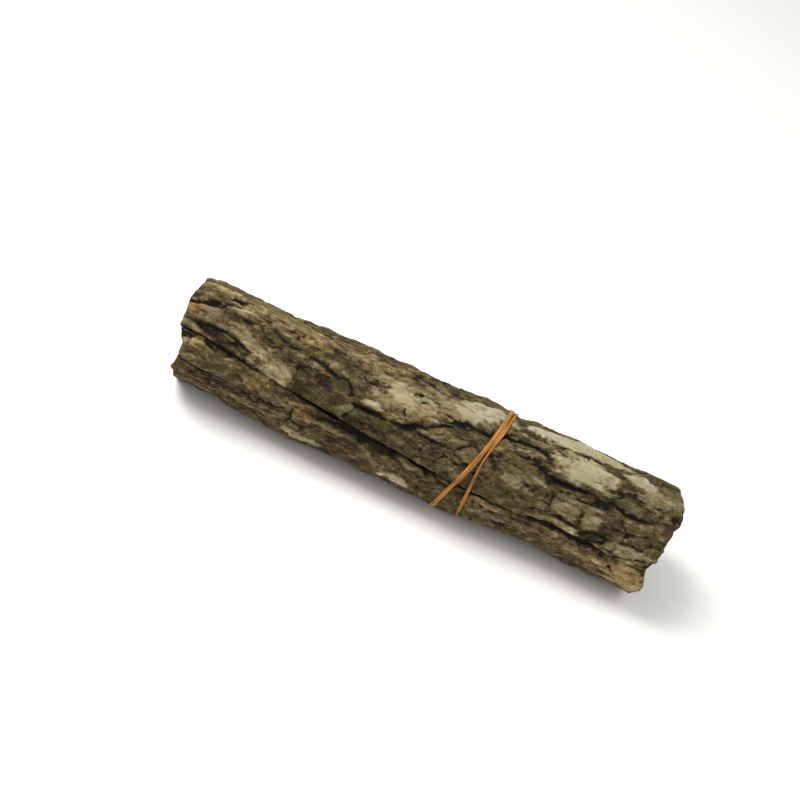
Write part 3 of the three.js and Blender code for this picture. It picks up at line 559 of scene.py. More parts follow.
class BarkForm:
    """The bark's radius at every place: the solid's coarse form with fine relief laid over it."""

    def __init__(self) -> None:
        """Carries the measured lines onto the tube, set off against the warp they go through."""
        self.slit = on_tube(SLIT)
        paths = [on_tube(furrow.path) for furrow in FURROWS]
        self.furrows = [(f, p + self.shift_at(p) * FURROWS_WARPED) for f, p in zip(FURROWS, paths)]
        self.back = BackPlates()

    def slit_angle(self, x: Array) -> Array:
        """Angle of the slit at x: straight between its measured points, and a little wander."""
        around = table(x, self.slit) + line_noise(x, (0.6, 9, 64), (0.25, 2.6, 65))
        return around / TUBE.crest_radius

    def ring_noise(self, x: Array, angle: Array, length: float, width: float, seed: int) -> Array:
        """Noise read on a round column of the crest radius, so that it meets itself at the back."""
        y, z = (TUBE.crest_radius / width * turn(angle) + CELL_START for turn in (np.cos, np.sin))
        return noise(x / length + CELL_START, y, z, seed)

    def inner_radius(self, x: Array, angle: Array) -> Array:
        """The smooth inside: the bore radius plus slow noise."""
        return TUBE.bore_radius + 0.7 * self.ring_noise(x, angle, 90, 26, 5)

    def from_below(self, angle: Array) -> Array:
        """Degrees from straight down, positive towards the front."""
        around = near_turn(angle * TUBE.crest_radius, -math.pi / 2 * TUBE.crest_radius)
        return np.degrees(around / TUBE.crest_radius) + 90

    def furrow_depth(self, x: Array, around: Array) -> Array:
        """The deepest of the slit's groove and the measured furrows.

        Args:
            x: place along the tube.
            around: distance round it.

        Returns:
            Depth in millimetres.
        """
        slit = self.slit_angle(x) * TUBE.crest_radius
        above = near_turn(around, slit) - slit
        width = table(x, SLIT_GROOVES, 2) * np.where(above < 0, *SLIT_SIDES)
        cut = table(x, SLIT_GROOVES) * groove(above, width)
        uneven = 1 + octaves(x, around, (0.45, 7, 7, 51))
        for furrow, path in self.furrows:
            away, above = to_path(x, around, path)
            cut = np.maximum(cut, furrow.depth * groove(away, furrow.width * uneven))
            if furrow.slope:
                shelf = 0.5 * furrow.depth * np.exp(-away / furrow.slope)
                cut = np.maximum(cut, np.where(above < 0, shelf, 0))
        return cut

    def coarse_radius(self, x: Array, angle: Array, cut: Array) -> Array:
        """The radius before the furrows' fine edges, as in the solid.

        The crest radius is moved to the seen outline by the square of the sine of the angle from
        the line of sight, then ridges, plates and pits are added, the furrows taken off and the
        underside lifted.

        Args:
            x: place along the tube.
            angle: angle round it.
            cut: how deep the furrows are.

        Returns:
            Radius in millimetres.
        """
        around, below = angle * TUBE.crest_radius, self.from_below(angle)
        facing = np.sin(EYE.facing(angle))
        upper = np.maximum(0, facing) ** 2
        lower = np.maximum(0, -facing) ** 2 * smoothstep(below, 14, 38)
        r = np.full(np.shape(around), TUBE.crest_radius)
        for edge, share in ((UPPER_EDGE, upper), (LOWER_EDGE, lower)):
            r = r + (table(x, edge) - TUBE.crest_radius) * share
        for high, length, width, seed in ((0.8, 45, 11, 1), (0.55, 20, 5, 2)):
            r = r + high * self.ring_noise(x, angle, length, width, seed)
        for sign, ovals in ((1, PLATES), (-1, PITS)):
            for oval in ovals:
                r = r + sign * oval.amount * oval.cover(x, around)
        lift = TUBE.belly_lift * (1 - smoothstep(np.abs(x), *TUBE.belly_reach))
        r = r - TUBE.ridge_sink - cut
        return r - lift * np.exp(-((below / TUBE.belly_degrees) ** 2))

    def warped(self, x: Array, around: Array) -> tuple[Array, Array]:
        """Shifts places by slow and quicker noise, so that no pattern runs straight."""
        return x + octaves(x, around, *WARP_ALONG), around + octaves(x, around, *WARP_ROUND)

    def shift_at(self, points: Array) -> Array:
        """How far the warp moves measured places, so that they can be set off against it.

        Args:
            points: rows of [x, distance round the tube].

        Returns:
            Rows of the two shifts.
        """
        x, start = points[:, 0], self.slit_angle(points[:, 0])
        turned = np.mod(points[:, 1] / TUBE.crest_radius - start, FULL_TURN)
        around = (start + turned) * TUBE.crest_radius
        wx, wy = self.warped(x, around)
        return np.stack([wx - x, wy - around], axis=1)

    def fine_relief(self, x: Array, around: Array) -> Array:
        """Flakes and scales in steps, cracked plates of two sizes, long fibres and grains.

        Args:
            x: place along the tube.
            around: distance round it.

        Returns:
            Height in millimetres, about -1.5 to 1.
        """
        wx, wy = self.warped(x, around)
        flakes = octaves(wx, wy, (2.1, 26, 9, 41), (1.2, 9, 4, 42))
        flakes = terraces(flakes + octaves(x, around, (0.25, 2.4, 1.8, 53)), 0.7)
        scales = terraces(octaves(wx, wy, (1.8, 8, 4.2, 54), (0.8, 3.6, 2.2, 55)), 0.6)
        height = 0.5 * flakes + 0.3 * scales
        # plates: [length, width, seed], [length, width, seed] of where they crack, how much of
        # that noise does, step between plates, and depth and width of the cracks
        for size, places, some, step, depth, width in (
            ((15, 6.2, 43), (17, 9, 44), (-0.2, 0.45), 0.6, 0.8, 0.5),
            ((5.6, 3.2, 45), (11, 6, 46), (0.05, 0.6), 0.3, 0.35, 0.35),
        ):
            rim, number = cells(wx, wy, *size)
            broken = smoothstep(sheet_noise(x, around, *places), *some)
            height = height + step * (number - 0.5) - depth * broken * groove(rim, width)
        fibres = 1 - np.abs(sheet_noise(wx, wy, 15, 2.1, 47))
        swells = octaves(wx, wy, (0.14, 6, 1.2, 48), (0.6, 9, 6, 50))
        grains = octaves(x, around, (0.24, 2.1, 1.5, 49))
        return height + 0.3 * (fibres - 0.6) + swells + grains

    def stood(self, r: Array, x: Array, angle: Array) -> Array:
        """Raises the worn feet to the ground: to (axis height + sink) / cos(angle from below).

        Args:
            r: radius.
            x: place along the tube.
            angle: angle round it.

        Returns:
            The radius with feet.
        """
        below = self.from_below(angle)
        steep = np.cos(np.radians(np.clip(below, -80, 80)))
        ground = (TUBE.axis_height + TUBE.foot_sink) / steep
        for foot_x, foot_degrees, half_length, half_degrees in FEET:
            off = np.hypot((x - foot_x) / half_length, (below - foot_degrees) / half_degrees)
            r = blend(r, np.maximum(r, ground), 1 - smoothstep(off, 0.4, 1.3))
        return r

    def outer_radius(self, x: Array, angle: Array) -> Array:
        """The whole radius: coarse form, fine relief, feet, and never less than the least wall.

        Args:
            x: place along the tube.
            angle: angle round it.

        Returns:
            Radius in millimetres.
        """
        start = self.slit_angle(x)
        angle = start + np.mod(angle - start, FULL_TURN)
        around = angle * TUBE.crest_radius
        near = [blend(*ends) for ends in zip((x, around), self.warped(x, around), FURROWS_WARPED)]
        back_cut, plates = self.back.relief(*near, angle)
        cut = np.maximum(self.furrow_depth(*near), back_cut)
        cut = cut * (0.8 + octaves(x, around, (0.4, 10, 8, 52)))
        r = self.coarse_radius(x, angle, cut) + plates
        r = r + self.fine_relief(x, around) * (1 - 0.5 * smoothstep(cut, 1, 3))
        return np.maximum(self.stood(r, x, angle), self.inner_radius(x, angle) + TUBE.least_wall)

    def end_at(self, profile: list[Point], angle: Array, seed: int) -> Array:
        """Where an end is cut: as seen in front, and carried round the back with a little wander.

        Args:
            profile: [across, along] as seen.
            angle: angle round the tube.
            seed: for the small raggedness of this end.

        Returns:
            x in millimetres.
        """
        side, facing = np.sin(EYE.facing(angle)), np.cos(EYE.facing(angle))
        along = table(TUBE.crest_radius * side, profile)
        nearer = 1 - TUBE.crest_radius * facing / EYE.distance
        front = EYE.along + (along - EYE.along) * nearer
        wander = 1.6 * np.abs(facing) * self.ring_noise(0 * angle, angle, 1, 7, 6)
        back = blend(profile[0][1], profile[-1][1], (1 + side) / 2) + wander
        ragged = sum(
            high * noise(angle * often + 9, CELL_MIDDLE, CELL_MIDDLE, seed)
            for high, often in ((0.45, 14), (0.3, 33))
        )
        return np.where(facing >= 0, front, back) - TUBE.middle_along + ragged


# Finishes


def linear(red: int, green: int, blue: int) -> Colour:
    """A shown colour, 0 to 255, as the linear colour that the shader takes."""
    parts = [c / 255 for c in (red, green, blue)]
    return (*(c / 12.92 if c <= 0.04045 else ((c + 0.055) / 1.055) ** 2.4 for c in parts), 1.0)


class Wiring:
    """A material's node sheet, filled one node at a time."""

    def __init__(self, name: str) -> None:
        """Starts a material with an empty sheet, a Principled shader and an output.

        Args:
            name: the material's name.
        """
        self.material = bpy.data.materials.new(name)
        self.material.use_nodes = True
        self.tree = self.material.node_tree
        self.tree.nodes.clear()
        self.shader = self.tree.nodes.new("ShaderNodeBsdfPrincipled")
        output = self.tree.nodes.new("ShaderNodeOutputMaterial")
        self.join(self.shader.outputs["BSDF"], output.inputs["Surface"])

    def join(self, source: object, target: Socket) -> None:
        """Links an output to an input, or sets the input.

        Args:
            source: another node's output, or a plain value.
            target: the input.
        """
        if isinstance(source, Socket):
            self.tree.links.new(source, target)
        else:
            target.default_value = source

    def node(self, kind: str, sources: dict, output: str | int, **settings: object) -> Socket:
        """Adds a node.

        Args:
            kind: Blender's name of the node type, without ShaderNode.
            sources: what each input takes, by its name or number.
            output: name or number of the output wanted.
            settings: property values.

        Returns:
            That output.
        """
        made = self.tree.nodes.new("ShaderNode" + kind)
        for name, value in settings.items():
            setattr(made, name, value)
        for name, source in sources.items():
            self.join(source, made.inputs[name])
        return made.outputs[output]

    def attribute(self, name: str) -> Socket:
        """A number kept on the mesh's points."""
        return self.node("Attribute", {}, "Fac", attribute_name=name)

    def scaled(self, where: Socket, scale: tuple[float, float, float]) -> Socket:
        """Coordinates, scaled on each axis."""
        return self.node("Mapping", {"Vector": where, "Scale": scale}, "Vector")

    def stretched(self, along: float) -> Socket:
        """Object coordinates, scaled along the tube."""
        return self.scaled(self.node("TexCoord", {}, "Object"), (along, 1, 1))

    def grain(self, where: Socket, scale: float, *texture: float) -> Socket:
        """Noise from 0 to 1: cells to the metre, then octaves, weight of the fine, distortion."""
        names = ("Vector", "Scale", "Detail", "Roughness", "Distortion")
        return self.node("TexNoise", dict(zip(names, (where, scale, *texture))), "Fac")

    def times(self, first: object, second: object) -> Socket:
        """The product of two sources."""
        return self.node("Math", {0: first, 1: second}, 0, operation="MULTIPLY")

    def plus(self, first: object, second: object) -> Socket:
        """The sum of two sources."""
        return self.node("Math", {0: first, 1: second}, 0, operation="ADD")

    def ranged(self, value: Socket, *ends: float) -> Socket:
        """A smooth step between two values, from 0 to 1 or between two more numbers."""
        sources = zip(("Value", "From Min", "From Max", "To Min", "To Max"), (value, *ends))
        return self.node("MapRange", dict(sources), "Result", interpolation_type="SMOOTHSTEP")

    def mix(self, share: Socket, first: object, second: object) -> Socket:
        """The first colour where the share is 0, the second where it is 1."""
        return self.node("Mix", {0: share, 6: first, 7: second}, 2, data_type="RGBA")

    def ramp(self, value: Socket, stops: Stops) -> Socket:
        """Turns a number into a colour, straight between stops.

        Args:
            value: the number.
            stops: each place and its colour.

        Returns:
            The colour.
        """
        colour = self.node("ValToRGB", {"Fac": value}, "Color")
        elements = colour.node.color_ramp.elements
        while len(elements) < len(stops):
            elements.new(0.5)
        for element, (position, shown) in zip(elements, stops):
            element.position, element.color = position, shown
        return colour

    def relief(self, height: Socket, depth: float) -> None:
        """Adds fine relief, its height in shares of the depth in metres."""
        bump = self.node("Bump", {"Distance": depth, "Height": height}, "Normal")
        self.join(bump, self.shader.inputs["Normal"])

    def finished(self, colour: Socket, rough: float, shine: float = 0.5) -> bpy.types.Material:
        """Sets the shader's inputs.

        Args:
            colour: the base colour.
            rough: the roughness.
            shine: the specular level.

        Returns:
            The material.
        """
        names = ("Base Color", "Roughness", "Specular IOR Level")
        for name, source in zip(names, (colour, rough, shine)):
            self.join(source, self.shader.inputs[name])
        return self.material


@dataclass(frozen=True)
class OutsideFinish:
    """Weathered bark: brown and olive to grey, with pale lichen, tan scars and dark furrows
    darkened by painted shade.
    """

    stops: Stops = (
        (0, linear(31, 23, 14)), (0.22, linear(55, 44, 27)), (0.4, linear(82, 68, 43)),
        (0.58, linear(110, 94, 62)), (0.78, linear(148, 135, 103)), (1, linear(188, 178, 152)),
    )
    tan_stops: Stops = (
        (0, linear(44, 29, 15)), (0.35, linear(92, 67, 37)), (0.65, linear(136, 104, 58)),
        (1, linear(178, 144, 90)),
    )
    green: Colour = linear(159, 151, 110)
    moss: Colour = linear(84, 82, 36)
    rust: Colour = linear(132, 86, 52)
    # Painted shade: the near-black laid into sunken places and the slit's edge rows
    deep: Colour = linear(20, 15, 10)

    def material(self) -> bpy.types.Material:
        """Reads one tone from the mesh's mark and fine noise, turns it into colour by a ramp, and
        mixes sunken places towards a near-black painted shade.

        Returns:
            The material.
        """
        w = Wiring("bark_outside")
        long = w.stretched(0.5)
        broad, medium = w.grain(long, 60, 3, 0.55), w.grain(long, 330, 6, 0.72, 0.4)
        fine = w.grain(w.stretched(1), 1100, 3, 0.7)
        lichen = w.attribute("lichen")
        flecks = w.ranged(fine, 0.2, 0.8, -0.14, 0.14)
        mottle = w.plus(w.ranged(medium, 0.25, 0.75, -0.3, 0.3), flecks)
        mottle = w.times(mottle, w.ranged(lichen, 0.1, 0.6, 1.15, 0.58))
        tone = w.plus(w.attribute("tone"), mottle)
        tan = w.times(w.attribute("tan"), w.ranged(medium, 0.3, 0.6, 0.9, 0.5))
        rust = w.times(tan, w.ranged(broad, 0.5, 0.62, 0, 0.4))
        moss = w.times(w.attribute("moss"), w.ranged(medium, 0.35, 0.6, 0.5, 0.1))
        green = w.times(lichen, w.ranged(broad, 0.42, 0.6, 0.05, 0.55))
        specks = w.ranged(fine, 0.6, 0.72, 0, 0.5)
        # Painted shade: sunken places are mixed towards the deep colour, less under lichen
        sunken = w.ranged(w.attribute("cavity"), 0.42, 0.05)
        sunken = w.times(sunken, w.ranged(lichen, 0.4, 1, 1, 0.4))
        colour = w.mix(tan, w.ramp(tone, self.stops), w.ramp(tone, self.tan_stops))
        for share, second in (
            (rust, self.rust), (moss, self.moss), (green, self.green),
            (specks, self.stops[1][1]), (sunken, self.deep),
        ):
            colour = w.mix(share, colour, second)
        w.relief(w.plus(medium, w.times(fine, 0.3)), 0.0022)
        return w.finished(colour, 0.95, 0.2)


@dataclass(frozen=True)
class SectionFinish:
    """The ends and the slit's inner lips: dark cork outside, red-brown bast in layers inside."""

    cork: Colour = linear(82, 59, 41)
    bast: Colour = linear(104, 64, 43)
    line: Colour = linear(52, 33, 23)
    lines: float = 62  # radians of the layers' wave from outside to inside

    def material(self) -> bpy.types.Material:
        """Lines of equal depth, warped by noise, over a change from cork to bast.

        Returns:
            The material.
        """
        w = Wiring("bark_section")
        grain = w.grain(w.stretched(1), 420, 5, 0.65)
        layer = w.plus(w.attribute("layer"), w.times(grain, 0.16))
        wave = w.node("Math", {0: w.times(layer, self.lines)}, 0, operation="SINE")
        colour = w.mix(w.ranged(layer, 0.45, 0.75), self.cork, self.bast)
        colour = w.mix(w.ranged(wave, 0.1, 0.9, 0, 0.55), colour, self.line)
        colour = w.mix(w.ranged(grain, 0.55, 0.72, 0, 0.6), colour, self.line)
        w.relief(w.plus(grain, w.times(wave, 0.15)), 0.0009)
        return w.finished(colour, 0.9, 0.25)


@dataclass(frozen=True)
class BoreFinish:
    """The smooth inside: dark brown bast with long fibres."""

    light: Colour = linear(118, 80, 50)
    dark: Colour = linear(66, 43, 28)

    def material(self) -> bpy.types.Material:
        """Noise stretched along the tube, as colour and as fine ridges.

        Returns:
            The material.
        """
        w = Wiring("bark_bore")
        fibres = w.grain(w.stretched(0.06), 700, 4, 0.6)
        share = w.plus(w.times(fibres, 0.6), w.times(w.grain(w.stretched(0.3), 60, 3, 0.5), 0.4))
        w.relief(fibres, 0.0006)
        return w.finished(w.mix(w.ranged(share, 0.38, 0.62), self.dark, self.light), 0.72)


@dataclass(frozen=True)
class RaffiaFinish:
    """Dry dyed raffia: orange-tan fibres with paler and darker streaks along the strand."""

    light: Colour = linear(190, 130, 52)
    dark: Colour = linear(98, 56, 16)

    def material(self) -> bpy.types.Material:
        """Noise on the strand's own coordinates, drawn out along it.

        Returns:
            The material.
        """
        w = Wiring("raffia")
        strand = w.scaled(w.node("UVMap", {}, "UV", uv_map="strand"), (9, 0.25, 1))
        streak = w.grain(strand, 1.4, 4, 0.6)
        share = w.plus(w.times(streak, 0.75), w.times(w.grain(w.stretched(1), 90, 2, 0.5), 0.25))
        w.relief(streak, 0.00035)
        return w.finished(w.mix(w.ranged(share, 0.38, 0.6), self.dark, self.light), 0.55, 0.35)


@dataclass(frozen=True)
class FloorFinish:
    """A matt, almost white table."""

    pale: Colour = linear(244, 243, 241)
    dim: Colour = linear(241, 240, 238)

    def material(self) -> bpy.types.Material:
        """A plain pale surface with the faintest mottling."""
        w = Wiring("floor")
        return w.finished(w.mix(w.grain(w.stretched(1), 6, 2, 0.4), self.pale, self.dim), 0.8)


class Finish(Enum):
    """The finishes, by the surface that wears them."""

    OUTSIDE = OutsideFinish()
    SECTION = SectionFinish()
    BORE = BoreFinish()
    RAFFIA = RaffiaFinish()
    FLOOR = FloorFinish()


# Meshes


def linked(name: str, data: bpy.types.ID) -> bpy.types.Object:
    """A new object with that data, in the scene."""
    bpy.context.scene.collection.objects.link(made := bpy.data.objects.new(name, data))
    return made


def numbered(points: Array, start: int = 0) -> Array:
    """The point numbers of a grid of points, counted on from start."""
    return start + np.arange(points[..., 0].size).reshape(points.shape[:-1])


def quads_of(grid: Array, closed: bool = False) -> Array:
    """Four corners of every square of a grid of point numbers.

    Args:
        grid: point numbers, rows by columns.
        closed: whether the last column meets the first.

    Returns:
        Rows of four point numbers, turned from row to next row to next column.
    """
    if closed:
        grid = np.concatenate([grid, grid[:, :1]], axis=1)
    corners = (grid[:-1, :-1], grid[1:, :-1], grid[1:, 1:], grid[:-1, 1:])
    return np.stack([c.ravel() for c in corners], axis=1)


def mesh_object(
    name: str, points: Array, finishes: dict[Finish, list[Array]], marks: dict[str, Array]
) -> bpy.types.Object:
    """Writes a mesh, with numbers on its points.

    Args:
        name: the object's name.
        points: places in millimetres.
        finishes: arrays of faces, three or four columns, for each finish.
        marks: attribute name to one number for each point.

    Returns:
        The object, shaded smooth.
    """
    mesh = bpy.data.meshes.new(name)
    blocks = [(slot, faces) for slot, group in enumerate(finishes.values()) for faces in group]
    corners = [face for _, faces in blocks for face in faces.tolist()]
    mesh.from_pydata((points * MM).tolist(), [], corners)
    slots = np.concatenate([np.full(len(faces), slot, np.int32) for slot, faces in blocks])
    mesh.polygons.foreach_set("material_index", slots)
    mesh.polygons.foreach_set("use_smooth", np.ones(len(slots), bool))
    for key, values in marks.items():
        made = mesh.attributes.new(key, "FLOAT", "POINT")
        made.data.foreach_set("value", values.astype(np.float32))
    for finish in finishes:
        mesh.materials.append(finish.value.material())
    mesh.update()
    return linked(name, mesh)


@dataclass(frozen=True)
class Tones:
    """How pale the bark is, from 0 to 1: its own tone, what each mark adds, and painted shade from
    the relief.
    """

    bark: float = 0.39
    lichen: float = 0.52
    tan: float = 0.18
    # dark: the dark ovals, partly painted shadow; small and middle: painted shade, relief at two
    # sizes lightening proud places and darkening sunken ones
    dark: float = -0.2
    small: float = 0.14
    middle: float = 0.12


@dataclass
class BarkTube:
    """The curled sheet of bark: outside, inside, and the border of ends and slit edges between."""

    form: BarkForm
    along: int = 336  # squares along the outside
    around: int = 256
    ratio: int = 4  # outside squares to one inside square
    border_rows: int = 5
    rim_wear: float = 1.1  # how much the rims are worn, and over what distance
    evened: float = 0.3  # radians to each side over which the inner ends are evened out
    slants: Point = (-1, 0.5)  # how the right end's slant goes outside and inside
    settling: int = 3  # rounds of finding x and the angle, as each follows from the other
    oval_fall: Point = (0.1, 1.7)  # where a coloured oval starts and stops to fall, in radii
    raggedness: Point = (0.6, 0.12)  # how far noise breaks up its rim, and a crisp one's
    rim_step: Point = (0.32, 0.74)  # the part of that fall which shows
    tones: Tones = Tones()

    def sheet(self, along: int, around: int, lean: float) -> tuple[Array, Array]:
        """Places on one face of the sheet, from the slit's upper edge round to its lower edge.

        Each row starts half the slit's width past the slit's line and ends as far before it, one
        turn on; x runs from the left end to the right end at that angle.

        Args:
            along: squares along the tube.
            around: squares round it.
            lean: degrees that the slit has turned on this face.

        Returns:
            x and angle, each rows by columns.
        """
        share_x, share = np.linspace(0, 1, along + 1)[:, None], np.linspace(0, 1, around + 1)[None]
        bends = np.linspace(-self.evened, self.evened, 7) if lean else np.zeros(1)
        x = blend(-TUBE.middle_along, TUBE.middle_along, share_x) + 0 * share
        for _ in range(self.settling):
            edge = table(x, SLIT_GAPS) / 2 / TUBE.bore_radius
            start = self.form.slit_angle(x) + math.radians(lean)
            angle = start + blend(edge, FULL_TURN - edge, share)
            facing = EYE.facing(angle)
            slant = table(TUBE.crest_radius * np.sin(facing), BEVEL) * (np.cos(facing) > 0)
            left, right = (
                sum(self.form.end_at(end, angle + bend, seed) for bend in bends) / len(bends)
                for end, seed in ((LEFT_END, 61), (RIGHT_END, 62))
            )
            x = blend(left, right + slant * self.slants[bool(lean)], share_x)
        return x, angle

    def outside(self) -> tuple[Array, Array, Array]:
        """Radius of the outside, its rims worn round by exp(-distance / wear) at the ends.

        Returns:
            x, angle and radius.
        """
        x, angle = self.sheet(self.along, self.around, 0)
        rim = np.minimum(x - x[:1], x[-1:] - x)
        wear = 0.7 + octaves(x, angle * TUBE.crest_radius, (0.5, 9, 4, 63))
        worn = self.rim_wear * wear * np.exp(-rim / self.rim_wear)
        return x, angle, self.form.outer_radius(x, angle) - worn

    def marks(self, x: Array, angle: Array, r: Array) -> dict[str, Array]:
        """Numbers for the finish: how sunken a place is, for painted shade, and where lichen, tan
        scars and dark places lie, the dark ones partly painted shadow.

        On the near side they are the measured ovals, on the far side noise above a threshold.

        Args:
            x: place along the tube.
            angle: angle round it.
            r: radius.

        Returns:
            cavity (0 deep, 0.5 level, 1 proud), the mask of painted shade, tone (0 dark, 1 pale)
            with painted shade from the relief, tan, lichen and moss.
        """
        around = angle * TUBE.crest_radius
        wx, wy = self.form.warped(x, around)
        # Relief at three sizes, for painted shade: cavity darkens sunken places in the outside
        # finish, and small and middle shade the tone
        small, middle, large = (r - blurred(r, half, half) for half in (1, 3, 8))
        cavity = np.clip(0.5 + 0.4 * small + 0.22 * middle + 0.16 * large, 0, 1)
        behind = smoothstep(-np.cos(EYE.facing(angle)), -0.02, 0.35)
        spread = octaves(wx, wy, (0.5, 9, 5, 71), (0.4, 3.5, 2.4, 72))
        spread = spread + octaves(x, around, (0.3, 1.8, 1.5, 77)) + 0.25 * np.clip(middle, -1, 1)

        def marked(ovals: list[Patch], amount: float, far: tuple, low: float, high: float) -> Array:
            """The strongest oval at each place, its rim broken up, and the noise behind.

            Args:
                ovals: what is seen on the near side.
                amount: how strong the mark is on the far side.
                far: length, width and seed of the noise there.
                low: where the mark begins in that noise.
                high: where it is whole.

            Returns:
                The mark, from 0.
            """
            best = np.zeros(np.shape(x))
            for oval in ovals:
                crisp = oval.square > 4
                off = self.form.shift_at(on_tube([(oval.along, oval.across)]))[0]
                at = (x, around) if crisp else (wx - off[0], wy - off[1])
                inside = oval.cover(*at, *self.oval_fall) + self.raggedness[crisp] * spread
                best = np.maximum(best, oval.amount * smoothstep(inside, *self.rim_step))
            back = amount * behind * smoothstep(sheet_noise(wx, wy, *far), low, high)
            return np.maximum(best * (1 - behind), back)

        lichen = marked(LICHEN, 0.85, (30, 11, 73), 0.25, 0.55)
        flecks = smoothstep(sheet_noise(wx, wy, 12, 6, 76) + 0.3 * spread, 0.35, 0.65)
        lichen = np.maximum(lichen, 0.3 * flecks)
        tan = marked(TAN, 0.8, (26, 7, 74), 0.35, 0.6)
        dark = marked(DARK_AND_SHADOW, 0.7, (34, 12, 75), 0.05, 0.5)
        t = self.tones
        tone = t.bark + octaves(wx, wy, (0.08, 34, 12, 78), (0.1, 9, 6, 79))
        tone = tone + t.lichen * lichen + t.tan * tan + t.dark * dark
        # Painted shade from the relief: proud places lighter, sunken ones darker
        tone = tone + t.small * np.clip(small, -0.8, 0.8) + t.middle * np.clip(middle, -1.2, 1.2)
        moss = smoothstep(octaves(wx, wy, (1, 24, 9, 80), (0.4, 6, 3, 81)), -0.1, 0.6)
        moss = moss * (1 - lichen)
        return {"cavity": cavity, "tone": tone, "tan": tan, "lichen": lichen, "moss": moss}

    @staticmethod
    def loop_of(grid: Array) -> Array:
        """The grid's rim in order: first row, last column, last row back, first column back."""
        return np.concatenate([grid[0, :-1], grid[:-1, -1], grid[-1, :0:-1], grid[:0:-1, 0]])

    def shares(self) -> Array:
        """How deep in the border each of its own rows lies: 0 outside, 1 inside."""
        return np.linspace(0, 1, self.border_rows + 1)[1:-1]

    def border(self, outer: Array, inner: Array) -> Array:
        """Rows of points from the outer rim to the inner rim, roughened by noise across the cut.

        Args:
            outer: points of the outer rim.
            inner: points of the inner rim, one for each outer point.

        Returns:
            Points, rows by rim points, the two rims left out.
        """
        share, step = self.shares()[:, None], np.arange(len(outer))[None]
        ahead = np.roll(outer, -1, axis=0) - np.roll(outer, 1, axis=0)
        out = unit(np.cross(inner - outer, ahead))
        lift = 0.3 * noise(share * 9, step / 3.1, CELL_MIDDLE, 81)
        lift = lift + 0.25 * noise(share * 4, step / 9, CELL_MIDDLE, 82)
        return blend(outer, inner, share[..., None]) + out * lift[..., None]

    def join_rims(self, fine: Array, coarse: Array) -> list[Array]:
        """Triangles between a fine loop and a coarse one, with the ratio's number of fine steps.

        Each fine step goes to the nearest coarse point, and each coarse step to the fine point
        before its middle.

        Args:
            fine: point numbers of the fine loop.
            coarse: point numbers of the coarse loop.

        Returns:
            The triangles on the fine steps, and those on the coarse steps.
        """
        start, group, half = np.arange(len(fine)), np.arange(len(coarse)), self.ratio // 2
        fine, coarse = np.append(fine, fine[0]), np.append(coarse, coarse[0])
        steps = [fine[start], fine[start + 1], coarse[(start + half) // self.ratio]]
        fans = [fine[group * self.ratio + half], coarse[group + 1], coarse[group]]
        return [np.stack(steps, axis=1), np.stack(fans, axis=1)]

    def build(self) -> bpy.types.Object:
        """Joins the two faces and the border into one closed mesh with three materials.

        Returns:
            The bark.
        """
        x, angle, r = self.outside()
        outer = place(x, angle, r)
        outer[..., 2] = np.maximum(0, outer[..., 2])
        coarse = (self.along // self.ratio, self.around // self.ratio)
        inner_at = self.sheet(*coarse, -TUBE.slit_lean)
        inner = place(*inner_at, self.form.inner_radius(*inner_at))
        outer_rim, inner_rim = self.loop_of(outer), self.loop_of(inner)
        low, part = np.divmod(np.arange(len(outer_rim)), self.ratio)
        after = np.roll(inner_rim, -1, axis=0)
        rows = self.border(outer_rim, blend(inner_rim[low], after[low], part[:, None] / self.ratio))

        outer_ids = numbered(outer)
        inner_ids = numbered(inner, outer_ids.size)
        row_ids = numbered(rows, outer_ids.size + inner_ids.size)
        outer_loop, inner_loop = self.loop_of(outer_ids), self.loop_of(inner_ids)
        border = quads_of(np.concatenate([outer_loop[None], row_ids]), closed=True)[:, ::-1]
        sides = np.repeat([True, False] * 2, [self.around, self.along] * 2)
        at_end = np.tile(sides, self.border_rows - 1)
        # The slit's edge rows wear the outside finish with zero marks: darkest tone and full deep
        # colour, painted shade in the slit's gap
        finishes = {
            Finish.OUTSIDE: [quads_of(outer_ids), border[~at_end]],
            Finish.SECTION: [border[at_end], *self.join_rims(row_ids[-1], inner_loop)],
            Finish.BORE: [quads_of(inner_ids)[:, ::-1]],
        }
        points = np.concatenate([grid.reshape(-1, 3) for grid in (outer, inner, rows)])
        # Zero marks off the outside; on the slit's edge rows they give that painted shade
        blank = np.zeros(len(points) - outer_ids.size)
        marks = {key: np.append(values, blank) for key, values in self.marks(x, angle, r).items()}
        layers = np.repeat(self.shares(), len(outer_loop))
        marks["layer"] = np.concatenate([np.zeros(outer_ids.size), np.ones(inner_ids.size), layers])
        made = mesh_object("bark_piece", points, finishes, marks)

        edges = np.zeros(2 * len(made.data.edges), np.int32)
        made.data.edges.foreach_get("vertices", edges)
        on_rim = np.zeros(len(points), int)
        on_rim[outer_loop], on_rim[inner_loop] = 1, 2
        first, second = on_rim[edges].reshape(-1, 2).T
        sharp = made.data.attributes.new("sharp_edge", "BOOLEAN", "EDGE")
        sharp.data.foreach_set("value", (first == second) & (first > 0))
        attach(made, "root")
        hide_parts("bark_tube")
        return made


@dataclass(frozen=True)
class Turn:
    """One turn of the tie: its [along, across] points down the front, and its strands."""

    side: float  # which side of the knot it goes to
    front: list[Point]
    strands: list[tuple[float, float, float]]  # offset along the tube, width, lift


